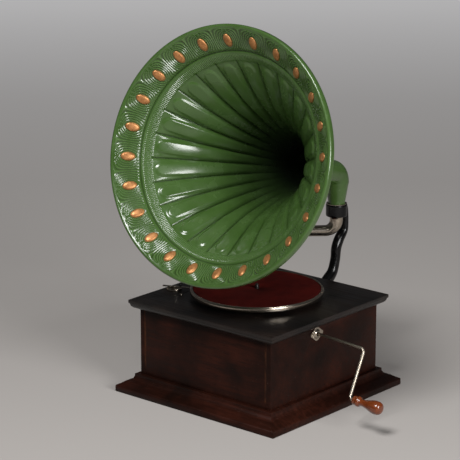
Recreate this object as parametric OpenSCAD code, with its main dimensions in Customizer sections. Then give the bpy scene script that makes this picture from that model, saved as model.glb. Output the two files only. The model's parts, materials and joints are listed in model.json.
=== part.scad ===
// Tabletop horn gramophone: a wooden case with a hand-wound spring motor, a turntable,
// a swinging tone arm and a fluted steel horn on a cast bracket behind the case.
// +X is the crank side, +Y the back, +Z up. The origin is the centre of the base on the table.

/* [Case] */
// Width of the case between the outer faces of its side panels
case_w = 320; // [300:1:340]
// Depth of the case between the outer faces of its front and back panels
case_d = 316; // [300:1:336]
// Height of the top of the case walls above the table
wall_top = 164; // [158:1:180]
// Thickness of the wall panels
wall_t = 12; // [10:1:14]
// Thickness of the bottom board
bottom_t = 9; // [7:1:12]
// Thickness of the top board
board_t = 18; // [14:1:20]
// How far the top board stands out past the walls
board_out = 16; // [10:1:20]
// Height of the plain vertical edge of the top board
board_edge = 6; // [4:1:8]
// Height of the plinth moulding
plinth_h = 35; // [32:1:42]
// How far the foot of the plinth stands out past the walls
plinth_out = 35; // [32:1:42]
// Width of the flat ledge on top of the plinth
ledge_w = 8.5; // [6:0.5:10]
// Radius of the cove under the ledge
cove_r = 12; // [9:0.5:13]
// Height of the upright face of the plinth's lip
lip_h = 10; // [7:1:12]
// Radius of the lip's rounded edge
lip_r = 4; // [2:0.5:5]
// Leg length of the corner blocks inside the case
block_leg = 26; // [20:1:32]

/* [Turntable] */
// Distance of the spindle from the middle of the case, towards the crank
spindle_x = -5; // [-10:1:0]
// Distance of the spindle from the middle of the case, towards the back
spindle_y = 0; // [-5:1:5]
// Radius of the turntable
platter_r = 127; // [122:1:128]
// Gap between the top board and the turntable's rim
platter_gap = 7; // [6:1:9]
// Height of the turntable's rim
rim_h = 10.5; // [9:0.5:12]
// Thickness of the rim's rolled edge
rim_t = 5.5; // [4:0.5:7]
// Thickness of the pressed plate
plate_t = 2.2; // [1.5:0.1:2.6]
// Thickness of the felt mat
felt_t = 2.5; // [1.5:0.1:3]
// Gap between the felt mat and the rim around it
felt_gap = 0.6; // [0.3:0.1:1.5]
// Radius of the spindle's pin above the felt mat
spindle_r = 3.6; // [3.4:0.05:3.7]
// Height of the spindle above the felt mat
spindle_up = 9; // [7:0.5:12]
// Radial clearance of every shaft in its bearing
run_gap = 0.06; // [0.04:0.01:0.08]
// Radius of the turntable's hub
hub_r = 13; // [10:0.5:16]

/* [Motor] */
// Thickness of the two steel motor plates
frame_t = 3; // [2.5:0.5:4]
// Distance of the barrel arbor from the middle of the case, towards the crank
arbor_x = 62; // [60:1:65]
// Radius of the barrel arbor
arbor_r = 4; // [3.5:0.25:4.5]
// Height of the spring barrel
barrel_h = 32; // [28:1:34]
// Teeth on the spring barrel
barrel_teeth = 84; // [84:2:88]
// Leaves on the intermediate pinion
inter_leaves = 12; // [12:1:12]
// Tooth module of the barrel and its pinion
barrel_module = 1; // [0.98:0.01:1.02]
// Teeth on the intermediate wheel
wheel_teeth = 60; // [60:1:62]
// Leaves on the spindle pinion
spindle_leaves = 12; // [12:1:12]
// Tooth module of the intermediate wheel and the spindle pinion
wheel_module = 0.8; // [0.8:0.01:0.82]
// Width of the barrel's toothed ring
tooth_w = 5; // [4:0.5:6]
// Backlash cut from each tooth, measured on the pitch circle
backlash = 0.16; // [0.12:0.01:0.24]
// Thickness of the barrel's drum wall
drum_t = 1.6; // [1.2:0.1:2]
// Thickness of the mainspring strip
spring_t = 0.7; // [0.5:0.1:0.8]
// Turns of the mainspring
spring_turns = 7; // [5:1:8]
// Tooth module of the winding bevel gears
bevel_module = 1.5; // [1.45:0.01:1.5]
// Radius of the winding shaft
winding_r = 5.5; // [5:0.25:6]
// Radius of the motor pillars
pillar_r = 4; // [3.5:0.5:5]

/* [Governor] */
// Teeth on the fibre wheel that drives the governor
fibre_teeth = 48; // [44:4:52]
// Threads on the governor's worm
worm_starts = 4; // [4:1:4]
// Pitch radius of the fibre wheel
fibre_r = 16; // [15.5:0.1:16.5]
// Pitch radius of the worm
worm_r = 4.5; // [4.3:0.1:4.6]
// Radius of the governor's shaft
gov_r = 1.8; // [1.6:0.1:2]
// Length of the governor's leaf springs between their collars
gov_span = 34; // [30:1:38]
// How far the leaf springs bow out at the middle
gov_bow = 12; // [10:0.5:14]
// Radius of the governor's friction disc
gov_disc_r = 13; // [11:0.5:15]
// Radius of the governor's weights
weight_r = 6; // [5:0.5:7]

/* [Controls] */
// Distance of the brake's plate from the spindle, towards the left
brake_x = 150; // [148:1:152]
// Distance of the brake's plate from the spindle, towards the front
brake_y = 68; // [66:1:72]
// Radius of the brake's nickel plate
brake_plate_r = 15; // [13:0.5:17]
// Length of the brake lever's finger end
brake_len = 20; // [16:1:22]
// Distance of the speed screw from the spindle, towards the left
speed_x = 114; // [112:1:116]
// Distance of the speed screw from the spindle, towards the front
speed_y = 88; // [86:1:90]

/* [Crank] */
// Distance of the crank's axis in front of the middle of the case
crank_front = 26; // [25:1:28]
// Distance of the crank's axis below the top of the walls
crank_drop = 14; // [13.5:0.5:14.5]
// Radius of the crank's rod
rod_r = 3; // [2.6:0.1:3.2]
// How far the crank's rod runs out from the case before it bends down
crank_out = 111; // [95:1:120]
// Length of the crank's arm between its two bends
crank_arm = 93; // [80:1:97]
// Angle that the crank's arm leans forward of straight down, as stored
crank_lean = 27; // [15:1:35]
// Droop of the crank's rod outside the case
crank_droop = 3.4; // [2:0.1:5]
// Radius of the crank's bends
crank_bend = 8; // [7:0.5:10]
// Length of the turned handle
handle_len = 62; // [54:1:68]
// Largest radius of the handle
handle_r = 12.5; // [11:0.5:14]

/* [Bracket and tone arm] */
// Distance of the collar's axis behind the middle of the case
collar_y = 236; // [234:1:238]
// Height of the collar's top above the table
collar_top = 318; // [314:1:322]
// Height of the collar
collar_h = 25; // [23:1:28]
// Outer radius of the collar
collar_r = 21; // [20.5:0.5:23.5]
// Thickness of the bracket's arm, from side to side
bracket_w = 20; // [16:1:24]
// Width of the bracket's foot plate
foot_w = 64; // [56:1:72]
// Height of the bracket's foot plate
foot_h = 82; // [76:1:88]
// Thickness of the bracket's foot plate
foot_t = 6; // [5:0.5:8]
// Height of the level part of the tone arm above the table
arm_z = 263; // [260:1:266]
// Distance from the tone arm's pivot to the soundbox
arm_len = 225; // [222:1:226]
// Outer radius of the tone arm's tube
tube_r = 10.2; // [9.6:0.1:10.4]
// Outer radius of the tone arm's tube at its pivot, where it is widest
pivot_tube_r = 13; // [12.4:0.1:13.2]
// Wall thickness of the tone arm's tube
tube_t = 1.2; // [1:0.1:1.6]
// Angle of the stored tone arm, from straight forward towards the left
arm_angle = 45; // [44:0.5:47]
// Height of the needle's tip above the felt at rest
needle_up = 2.6; // [2:0.1:4]
// Length of the sloping end
slope_len = 52; // [48:1:54]

/* [Soundbox] */
// Radius of the soundbox
box_r = 26; // [24:0.5:27]
// Thickness of the soundbox
box_t = 12; // [10:0.5:13]
// Thickness of the mica diaphragm
mica_t = 0.4; // [0.3:0.1:0.6]
// Length of the needle
needle_len = 16; // [14:0.5:17]
// Radius of the needle
needle_r = 0.8; // [0.7:0.05:1]

/* [Horn] */
// Radius of the horn over its rolled lip
horn_r = 238; // [229.5:0.5:239.5]
// Length of the horn from its bosses back to its neck
horn_len = 340; // [325:1:345]
// Wall thickness of the horn
horn_t = 1.4; // [1.2:0.1:1.8]
// Inner radius of the horn's neck
neck_r = 24; // [22:0.5:25]
// Number of flutes and bosses
flutes = 24; // [20:1:26]
// Distance of the bosses' circle in from the lip
boss_in = 28; // [26.5:0.5:29.5]
// Distance of the groove round the flutes in from the lip
groove_in = 45.5; // [43.5:0.5:47.5]
// Distance of the flutes' ends in from the lip
flute_in = 61; // [57.5:0.5:65.5]
// Depth of the creases between the flutes
flute_depth = 6; // [4:0.5:8]
// Radius of the horn's rolled lip
lip_roll = 4; // [3:0.25:5]
// Straight length of the rolled lip on its outside
lip_back = 7; // [5:0.5:8]
// Half length of a boss, along the horn's radius
boss_long = 14; // [12:0.5:15]
// Half width of a boss, around the horn
boss_wide = 8.2; // [7:0.2:9]
// Height of a boss over the horn's band
boss_high = 3.6; // [2.6:0.2:4.4]
// Upward tilt of the horn's axis
horn_tilt = 15.7; // [14:0.1:18]
// Turn of the horn towards the crank side
horn_turn = 5.7; // [0:0.1:8]
// Distance from the bosses' plane back to the bend of the elbow
horn_reach = 403; // [400:1:408]
// Height of the elbow's bend point above the collar
elbow_up = 62; // [60:1:66]
// Outer radius of the elbow where it enters the collar
elbow_r = 16.6; // [16.2:0.1:17.2]

/* [Hidden] */

// Fineness of turned shapes
$fn = 64;
half_w = case_w / 2;
bottom_z = 0;
half_d = case_d / 2;
board_top = wall_top + board_t;
// Clearance between still pieces that are let into each other
seat = 0.05;
// Clearance between pieces that pass each other
pass = 0.3;

// Turntable
rim_z = board_top + platter_gap;
rim_top = rim_z + rim_h;
felt_top = rim_top - 0.5;
plate_top = felt_top - felt_t;
plate_z = plate_top - plate_t;
hub_z = board_top + 4;
spindle_top = felt_top + spindle_up;
// The spindle is thicker below its pin, where it runs in the motor and carries the turntable
journal_r = spindle_r + 0.25;
pin_z = felt_top + 0.2;

// Winding gear
crank_y = -crank_front;
crank_z = wall_top - crank_drop;
frame_z = wall_top - frame_t;
pinion_teeth = 12;
gear_teeth = 24;
pinion_pitch = bevel_module * pinion_teeth / 2;
gear_pitch = bevel_module * gear_teeth / 2;
bevel_cone = atan(pinion_pitch / gear_pitch);
bevel_small = 0.7;
bevel_up = 0.8 * bevel_module;
bevel_down = 1.05 * bevel_module;
gear_back = crank_z - pinion_pitch - 2.7;
ratchet_teeth = 24;
ratchet_r = 14;
ratchet_step = 1.5;
ratchet_t = 3;
ratchet_z = gear_back - ratchet_t;

// Spring barrel and train
barrel_top = ratchet_z - 2;
barrel_z = barrel_top - barrel_h;
barrel_pitch = barrel_module * barrel_teeth / 2;
barrel_root = barrel_pitch - 1.1 * barrel_module;
drum_r = barrel_root - 2;
cover_t = 1.6;
inter_pitch = barrel_module * inter_leaves / 2;
wheel_pitch = wheel_module * wheel_teeth / 2;
leaf_pitch = wheel_module * spindle_leaves / 2;
wheel_t = 4;
wheel_z = barrel_z - 2.5 - wheel_t;
lower_top = wheel_z - 3;
lower_z = lower_top - frame_t;
inter_r = 2.6;
// The intermediate arbor stands where the two gear distances meet
train_a = barrel_pitch + inter_pitch;
train_b = wheel_pitch + leaf_pitch;
train_x = arbor_x - spindle_x;
train_y = crank_y - spindle_y;
train_d = norm([train_x, train_y]);
train_dir = atan2(train_y, train_x);
train_turn = acos((train_b * train_b + train_d * train_d - train_a * train_a) / (2 * train_b * train_d));
inter_dir = train_dir - train_turn;
inter_x = spindle_x + train_b * cos(inter_dir);
inter_y = spindle_y + train_b * sin(inter_dir);
// Direction from the intermediate arbor to the barrel's arbor
barrel_dir = atan2(crank_y - inter_y, arbor_x - inter_x);
// Angle at which a gear's tooth must point to mesh with one whose tooth points at angle a
function mate(a, dir, teeth, other) = dir + 180 - (360 / other) * (0.5 - (dir - a) * teeth / 360);
barrel_phase = mate(0, barrel_dir, inter_leaves, barrel_teeth);
leaf_phase = mate(0, inter_dir + 180, wheel_teeth, spindle_leaves);

// Governor
gov_x = spindle_x - fibre_r - worm_r;
gov_z = (lower_top + frame_z) / 2;
worm_half = 8;
gov_start = spindle_y - 18;
gov_collar = spindle_y + 14;
gov_collar_r = 5;
gov_collar_t = 4;
gov_disc_y = gov_collar + gov_span;
gov_disc_t = 2;
gov_end = gov_disc_y + 23;
bearing_t = 5;
worm_lead = 2 * PI * fibre_r / fibre_teeth * worm_starts;
worm_slant = atan(worm_lead / (2 * PI * worm_r));
worm_up = 0.62;
worm_down = 0.85;

// Regulator
speed_at = [spindle_x - speed_x, spindle_y - speed_y];
lever_at = [gov_x - 50, spindle_y + 20];
lever_t = 2.5;
lever_w = 6;
lever_z = frame_z - 10.5;
speed_r = 2;
speed_cam_r = 3;
cam_off = 0.6;
pad_x = gov_x - 6;
pad_z = gov_z + 9;
pad_r = 3;
pad_t = 3;
pad_y = gov_disc_y + gov_collar_t / 2 + gov_disc_t + pass;

// Motor frame
frame_x0 = -94;
frame_x1 = 112;
frame_y0 = -78;
frame_y1 = 92;
pillar_in = 9;
pillars = [for (x = [frame_x0 + pillar_in, frame_x1 - pillar_in])
  for (y = [frame_y0 + pillar_in, frame_y1 - pillar_in]) [x, y]];
motor_screw_at = [for (x = [frame_x0 + 7, frame_x1 - 7], y = [frame_y0 + 30, frame_y1 - 30]) [x, y]];
screw_r = 2.2;
lug_x = arbor_x + 45;

// Brake
brake_at = [spindle_x - brake_x, spindle_y - brake_y];
brake_turn = atan2(brake_y, brake_x);
brake_reach = norm([brake_x, brake_y]) - platter_r - pass;
brake_pad_t = 3;
brake_post_r = 2.5;
brake_z = board_top + 5;
brake_lever_t = 1.6;

// Crank
lean = [0, -sin(crank_lean), -cos(crank_lean)];
droop = [cos(crank_droop), 0, -sin(crank_droop)];
crank_knee = half_w + 12;
crank_a = [crank_knee, crank_y, crank_z];
crank_b = crank_a + droop * (crank_out - 12) / droop[0];
crank_c = crank_b + lean * crank_arm;
handle_start = crank_bend + 2;
pin_r = rod_r - 0.5;

// Bracket, tone arm and horn
collar_z = collar_top - collar_h;
sleeve_t = 1.3;
sleeve_r = elbow_r + 0.1 + sleeve_t;
sleeve_deep = 8;
shoulder_z = collar_z + 6;
swivel_r = pivot_tube_r + 0.5;
foot_top = wall_top - 14;
foot_screws = [for (x = [-1, 1], z = [-1, 1]) [x * (foot_w / 2 - 11), foot_top - foot_h / 2 + z * (foot_h / 2 - 13)]];
foot_screw_r = 2.4;
stub_r = tube_r - 1.4;
stub_sleeve_r = stub_r + 0.8;
box_y = 24;
box_front = box_y + box_t;
bezel_t = 2;
pivot_down = box_r - 2;
bar_y = box_front + bezel_t + 1;
bar_t = 2.5;
needle_lean = 30;
needle_tip = needle_len - 1.8;
stub_z = felt_top + needle_up + box_r + 4 + needle_tip * cos(needle_lean);
arm_slope = asin((arm_z - stub_z) / slope_len);
holder_down = box_r + 4;
holder_r = 2.5;
holder_len = 8;
elbow_at = [0, collar_y, collar_top + elbow_up];
horn_dir = [sin(horn_turn) * cos(horn_tilt), -cos(horn_turn) * cos(horn_tilt), sin(horn_tilt)];
elbow_bend = 26;
neck_len = 22;

// Unit vector along v
function unit(v) = v / norm(v);
// Points and directions along the bend at b, between a and c
function bend(a, b, c, r, n) =
  let (d = unit(b - a), e = unit(c - b), turn = acos(d * e), side = unit(e - (e * d) * d))
  let (start = b - d * r * tan(turn / 2))
  [for (k = [0:n]) let (f = turn * k / n)
    [start + r * (sin(f) * d + (1 - cos(f)) * side), cos(f) * d + sin(f) * side]];
// Side vectors carried along a path without twist
function carried(path, u, i = 0) =
  i == len(path) ? [] : let (t = path[i][1], w = unit(u - (u * t) * t)) concat([w], carried(path, w, i + 1));
// Ring of n points round c, square to direction t
function ring(c, t, u, r, n) =
  let (v = cross(t, u)) [for (k = [0:n - 1]) c + r * (cos(360 * k / n) * u + sin(360 * k / n) * v)];
function rings(path, radii, u, n) =
  let (sides = carried(path, u)) [for (i = [0:len(path) - 1]) ring(path[i][0], path[i][1], sides[i], radii[i], n)];
function reversed(v) = [for (i = [len(v) - 1:-1:0]) v[i]];

// Solid through a row of rings of equal count; a closed one joins its last ring to its first
module loft(rows, closed = false) {
  n = len(rows[0]);
  m = len(rows);
  last = closed ? m - 1 : m - 2;
  walls = [for (j = [0:last], i = [0:n - 1])
    let (a = j * n + i, b = j * n + (i + 1) % n, c = ((j + 1) % m) * n + (i + 1) % n, d = ((j + 1) % m) * n + i)
    each [[a, c, b], [a, d, c]]];
  ends = closed ? [] : [[for (i = [0:n - 1]) i], [for (i = [n - 1:-1:0]) (m - 1) * n + i]];
  polyhedron(points = [for (r = rows) each r], faces = concat(walls, ends), convexity = 10);
}

// Hollow tube along a path
module tube(path, outer, inner, u, n) {
  loft(concat(rings(path, outer, u, n), reversed(rings(path, inner, u, n))), closed = true);
}

// Involute of an angle, in degrees
function involute(a) = tan(a) * 180 / PI - a;
// Outline of an involute spur gear
function gear_outline(m, teeth, up = 0.85, down = 1.1) =
  let (pitch = m * teeth / 2, base = pitch * cos(20), tip = pitch + up * m, root = pitch - down * m)
  let (slack = backlash / (2 * pitch) * 180 / PI)
  let (half = function (r) 90 / teeth + involute(20) - slack - involute(r <= base ? 0 : acos(base / r)))
  let (steps = [root, max(root + 0.01, base, (root + pitch) / 2), pitch, tip])
  [for (i = [0:teeth - 1]) let (c = 360 * i / teeth) each concat(
    [for (r = steps) r * [cos(c - half(r)), sin(c - half(r))]],
    [for (r = reversed(steps)) r * [cos(c + half(r)), sin(c + half(r))]])];

// Bevel gear about +Z with its cone's tip at the origin; its pitch circle lies below
module bevel_gear(teeth, pitch, cone, back, bore) {
  apex = pitch / tan(cone);
  step = 360 / teeth;
  wide_root = 0.60;
  wide_tip = 0.27;
  outward = [cos(cone), sin(cone)];
  tip = [pitch, -apex] + bevel_up * outward;
  root = [pitch, -apex] - bevel_down * outward;
  teeth_ring = function (k) [for (i = [0:teeth - 1]) each [
    for (q = [[root, -wide_root], [tip, -wide_tip], [tip, wide_tip], [root, wide_root]])
    let (a = step * (i + q[1] / 2)) [k * q[0][0] * cos(a), k * q[0][0] * sin(a), k * q[0][1]]]];
  flat_ring = function (r, z) [for (i = [0:teeth - 1]) each [
    for (w = [-wide_root, -wide_tip, wide_tip, wide_root]) let (a = step * (i + w / 2)) [r * cos(a), r * sin(a), z]]];
  rows = [flat_ring(bore, back), flat_ring(root[0] - 0.2, back), teeth_ring(1), teeth_ring(bevel_small),
    flat_ring(bore, bevel_small * root[1])];
  loft(rows, closed = true);
}

// Round-headed wood screw along +Z, its shank from 0 up to len and its head below 0
module wood_screw(shank, head, len) {
  rotate_extrude() polygon([
    [0, -head * 0.5], [head * 0.55, -head * 0.45], [head * 0.9, -head * 0.2], [head, 0],
    [shank, 0], [shank, len - shank], [shank * 0.3, len], [0, len]]);
}

// Case

module front_panel() color("#2a1712")
  translate([wall_t - half_w, -half_d, bottom_z]) end_panel();

module end_panel() {
  cube([case_w - 2 * wall_t, wall_t, wall_top - bottom_z]);
}

module back_panel() color("#2a1712") difference() {
  translate([wall_t - half_w, half_d - wall_t, bottom_z]) end_panel();
  for (s = foot_screws) translate([s[0], half_d + 1, s[1]]) rotate([90, 0, 0])
    cylinder(h = wall_t, r = foot_screw_r + seat);
}

module side_panel() {
  cube([wall_t, case_d, wall_top - bottom_z]);
}

module left_panel() color("#2a1712")
  translate([-half_w, -half_d, bottom_z]) side_panel();

module right_panel() color("#2a1712") difference() {
  translate([half_w - wall_t, -half_d, bottom_z]) side_panel();
  translate([half_w - wall_t - 1, crank_y, crank_z]) rotate([0, 90, 0])
    cylinder(h = wall_t + 2, r = shield_boss_r - 1);
  for (s = shield_screws) translate([half_w + 1, s[0], s[1]]) rotate([0, -90, 0])
    cylinder(h = 9, r = shield_screw_r + seat);
}

module bottom_board() color("#3b2a1e") difference() {
  translate([wall_t - half_w, wall_t - half_d, bottom_z]) cube([case_w - 2 * wall_t, case_d - 2 * wall_t, bottom_t]);
  for (x = [-1, 1], y = [-1, 1]) translate([x * block_x, y * block_y, bottom_z - 1]) {
    cylinder(h = bottom_t + 2, r = screw_r + seat);
    cylinder(h = 1 + case_head_deep, r = case_head_r + seat);
  }
}

block_x = half_w - wall_t - block_leg / 3;
block_y = half_d - wall_t - block_leg / 3;
case_head_r = 4.4;
case_head_deep = 3;
case_screw_len = 24;

module corner_blocks() color("#5a4030")
  for (x = [0, 1], y = [0, 1]) mirror([x, 0, 0]) mirror([0, y, 0]) difference() {
    translate([half_w - wall_t, half_d - wall_t, bottom_z + bottom_t])
      linear_extrude(wall_top - bottom_z - bottom_t) polygon([[0, 0], [-block_leg, 0], [0, -block_leg]]);
    translate([block_x, block_y, bottom_z]) cylinder(h = bottom_t + case_screw_len, r = screw_r + seat);
  }

module case_screws() color("#8a8275")
  for (x = [-1, 1], y = [-1, 1]) translate([x * block_x, y * block_y, bottom_z + case_head_deep])
    wood_screw(screw_r, case_head_r, case_screw_len);

// Outline of the top board's section over a wall span: a cove below and a plain edge above
function board_section(half) =
  let (steps = 5, drop = board_t - board_edge - 1.5)
  let (side = [for (k = [0:steps]) let (a = 90 * k / steps)
    [half + (board_out - 2) * sin(a), wall_top + drop * (1 - cos(a))]])
  concat(side, [[half + board_out, wall_top + drop + 1.5], [half + board_out, board_top],
    [-half - board_out, board_top], [-half - board_out, wall_top + drop + 1.5]],
    [for (p = reversed(side)) [-p[0], p[1]]]);

module top_board() color("#2c2825") difference() {
  intersection() {
    translate([0, half_d + board_out, 0]) rotate([90, 0, 0])
      linear_extrude(case_d + 2 * board_out) polygon(board_section(half_w));
    translate([-half_w - board_out, 0, 0]) rotate([90, 0, 90])
      linear_extrude(case_w + 2 * board_out) polygon(board_section(half_d));
  }
  translate([spin[0], spin[1], wall_top - 1]) cylinder(h = board_t + 2, r = journal_r + 4);
  translate([speed_at[0], speed_at[1], wall_top - 1]) cylinder(h = board_t + 2, r = speed_r + run_gap);
  for (s = motor_screw_at) translate([s[0], s[1], wall_top - 1]) cylinder(h = board_t - 3, r = screw_r + seat);
}

spin = [spindle_x, spindle_y];

// Outline of the plinth's section from side to side: a lip, a cove and a ledge on each
function plinth_section(half) =
  let (side = concat([[plinth_out - 1, 0], [plinth_out, 1.5]],
    [for (k = [0:4]) let (a = 90 * k / 4) [plinth_out - lip_r + lip_r * cos(a), lip_h + lip_r * sin(a)]],
    [for (k = [0:6]) let (a = 270 - 90 * k / 6) [ledge_w + cove_r + cove_r * cos(a), plinth_h - 2 + cove_r * sin(a)]],
    [[ledge_w, plinth_h]]))
  concat([for (p = side) [half + p[0], p[1]]], [for (p = reversed(side)) [-half - p[0], p[1]]]);

module plinth_mouldings() color("#211411") difference() {
  reach = plinth_out + 5;
  intersection() {
    translate([0, half_d + reach, 0]) rotate([90, 0, 0])
      linear_extrude(case_d + 2 * reach) polygon(plinth_section(half_w));
    translate([-half_w - reach, 0, 0]) rotate([90, 0, 90])
      linear_extrude(case_w + 2 * reach) polygon(plinth_section(half_d));
  }
  translate([-half_w, -half_d, -1]) cube([case_w, case_d, plinth_h + 2]);
  for (x = [-1, 1], y = [-1, 1]) translate([x * half_w, y * half_d, -1]) rotate([0, 0, atan2(y, x)])
    translate([-2, -seat / 2, 0]) cube([2 * reach, seat, plinth_h + 2]);
}

// Shield round the crank's hole
shield_t = 1.5;
shield_w = 18;
shield_high = 13;
shield_boss_r = 7.5;
shield_hole_r = 4.5;
shield_screw_r = 1.2;
shield_screws = [for (z = [-1, 1]) [crank_y - 10.5, crank_z + 3.6 * z]];

module crank_escutcheon() color("#b8aea0") difference() {
  translate([half_w, crank_y, crank_z]) rotate([90, 0, 90]) union() {
    linear_extrude(shield_t) union() {
      polygon([[-shield_w + 2, -3], [-shield_w + 2, 3], [-3, shield_high], [3, shield_high],
        [shield_w - 2, 3], [shield_w - 2, -3], [3, -shield_high], [-3, -shield_high]]);
      for (x = [-1, 1]) translate([x * (shield_w - 4), 0]) circle(r = 4);
    }
    rotate_extrude() polygon([[0, 0], [shield_boss_r + 1.5, 0], [shield_boss_r + 1.5, shield_t],
      [shield_boss_r, shield_t + 2], [shield_boss_r - 1.5, shield_t + 3], [0, shield_t + 3]]);
  }
  translate([half_w - 1, crank_y, crank_z]) rotate([0, 90, 0]) cylinder(h = 10, r = shield_hole_r);
  for (s = shield_screws) translate([half_w - 1, s[0], s[1]]) rotate([0, 90, 0])
    cylinder(h = 5, r = shield_screw_r + seat);
}

module escutcheon_screws() color("#8f877b")
  for (s = shield_screws) translate([half_w + shield_t, s[0], s[1]]) rotate([0, -90, 0])
    wood_screw(shield_screw_r, 2.1, 8);

// Motor frame

module frame_plate(z) {
  corner = 6;
  translate([0, 0, z]) linear_extrude(frame_t) difference() {
    translate([frame_x0, frame_y0]) square([frame_x1 - frame_x0, frame_y1 - frame_y0]);
    for (x = [0, 1], y = [0, 1])
      translate([x ? frame_x1 : frame_x0, y ? frame_y1 : frame_y0]) rotate([0, 0, 45])
        square(corner * 1.4, center = true);
  }
}

// Holes for every shaft and pillar that both plates carry
module shaft_holes(z) {
  translate([arbor_x, crank_y, z - 1]) cylinder(h = frame_t + 2, r = arbor_r + run_gap);
  translate([inter_x, inter_y, z - 1]) cylinder(h = frame_t + 2, r = inter_r + run_gap);
  for (p = pillars) translate([p[0], p[1], z - 1]) cylinder(h = frame_t + 2, r = pillar_r / 2 + seat);
}

module motor_plate() color("#6f6f72") difference() {
  union() {
    frame_plate(frame_z);
    translate([lug_x, crank_y - 10, crank_z - 9]) cube([frame_t, 20, frame_z - crank_z + 10]);
    translate([lever_at[0], lever_at[1], lever_z + lever_t + pass]) cylinder(h = frame_z - lever_z - lever_t, r = 4);
    translate([lever_at[0], lever_at[1], lever_z - 1]) cylinder(h = frame_z - lever_z + 1, r = 2);
    translate([pawl_at[0], pawl_at[1], ratchet_z - 0.6]) cylinder(h = frame_z - ratchet_z + 1, r = pawl_post_r);
  }
  shaft_holes(frame_z);
  translate([spin[0], spin[1], frame_z - 1]) cylinder(h = frame_t + 2, r = journal_r + run_gap);
  translate([lug_x - 1, crank_y, crank_z]) rotate([0, 90, 0]) cylinder(h = frame_t + 2, r = winding_r + run_gap);
  for (s = motor_screw_at) translate([s[0], s[1], frame_z - 1]) cylinder(h = frame_t + 2, r = screw_r + seat);
}

module lower_plate() color("#6f6f72") difference() {
  frame_plate(lower_z);
  shaft_holes(lower_z);
  translate([spin[0], spin[1], lower_z + 1]) cylinder(h = frame_t, r = journal_r + run_gap);
}

module motor_pillars() color("#8c8a86")
  for (p = pillars) translate([p[0], p[1], 0]) union() {
    translate([0, 0, lower_top]) cylinder(h = frame_z - lower_top, r = pillar_r);
    translate([0, 0, lower_z]) cylinder(h = wall_top - lower_z, r = pillar_r / 2);
  }

module motor_screws() color("#8a8275")
  for (s = motor_screw_at) translate([s[0], s[1], frame_z]) wood_screw(screw_r, 4.4, frame_t + board_t - 5);

// Spring barrel and winding gear

module spring_barrel() color("#9a8450") translate([arbor_x, crank_y, barrel_z]) difference() {
  union() {
    cylinder(h = barrel_h - cover_t, r = drum_r);
    rotate([0, 0, barrel_phase]) linear_extrude(tooth_w) polygon(gear_outline(barrel_module, barrel_teeth));
  }
  translate([0, 0, 2]) cylinder(h = barrel_h, r = drum_r - drum_t);
  translate([0, 0, -1]) cylinder(h = 4, r = arbor_r + run_gap);
}

module barrel_cover() color("#a8925c") translate([arbor_x, crank_y, barrel_top - cover_t]) difference() {
  cylinder(h = cover_t, r = drum_r);
  translate([0, 0, -1]) cylinder(h = cover_t + 2, r = arbor_r + run_gap);
}

module barrel_arbor() color("#8f8f92") translate([arbor_x, crank_y, 0]) union() {
  translate([0, 0, lower_z]) cylinder(h = wall_top - lower_z, r = arbor_r);
  translate([0, 0, barrel_z + 3]) cylinder(h = barrel_h - 6, r = arbor_r + 3);
}

module mainspring() color("#4d5566") {
  low = arbor_r + 3.6;
  high = drum_r - drum_t - spring_t - 0.5;
  steps = 20;
  count = spring_turns * steps;
  edge = function (more) [for (i = [0:count]) let (r = low + (high - low) * i / count + more, a = 360 * i / steps)
    r * [cos(a), sin(a)]];
  translate([arbor_x, crank_y, barrel_z + 3]) linear_extrude(barrel_h - 6)
    polygon(concat(edge(spring_t), reversed(edge(0))));
}

// The shaft is bored at its outer end for the crank's rod
winding_x0 = arbor_x + gear_pitch + 1.5;
winding_x1 = half_w - 2;
socket_deep = 26;

module winding_shaft() color("#8f8f92") translate([winding_x0, crank_y, crank_z]) rotate([0, 90, 0]) difference() {
  cylinder(h = winding_x1 - winding_x0, r = winding_r);
  translate([0, 0, winding_x1 - winding_x0 - socket_deep]) cylinder(h = socket_deep + 1, r = pin_r + seat);
}

module winding_pinion() color("#9a8450") translate([arbor_x, crank_y, crank_z]) rotate([0, -90, 0])
  rotate([0, 0, 180 / pinion_teeth]) bevel_gear(pinion_teeth, pinion_pitch, bevel_cone, -gear_pitch - 1.5, 2);

module arbor_gear() color("#9a8450") translate([arbor_x, crank_y, crank_z])
  bevel_gear(gear_teeth, gear_pitch, 90 - bevel_cone, gear_back - crank_z, arbor_r + seat);

module ratchet_wheel() color("#77777a") translate([arbor_x, crank_y, ratchet_z]) difference() {
  linear_extrude(ratchet_t) polygon([for (i = [0:ratchet_teeth - 1]) let (a = 360 * i / ratchet_teeth)
    let (b = a + 360 / ratchet_teeth - 0.5)
    each [(ratchet_r - ratchet_step) * [cos(a), sin(a)], ratchet_r * [cos(b), sin(b)]]]);
  translate([0, 0, -1]) cylinder(h = ratchet_t + 2, r = arbor_r + seat);
}

// The pawl lies along the wheel's edge. It is drawn lifted just clear of the teeth, and drops behind one
pawl_post_r = 2;
pawl_reach = 20;
pawl_angle = 225.6;
pawl_tip_r = ratchet_r - ratchet_step + 0.35;
// Turn that lifts the pawl's tip out of the teeth
pawl_up = 5;
pawl_tip = [pawl_tip_r * cos(pawl_angle), pawl_tip_r * sin(pawl_angle)];
pawl_at = [arbor_x, crank_y] + pawl_tip + pawl_reach * [cos(pawl_angle + 72), sin(pawl_angle + 72)];

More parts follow.
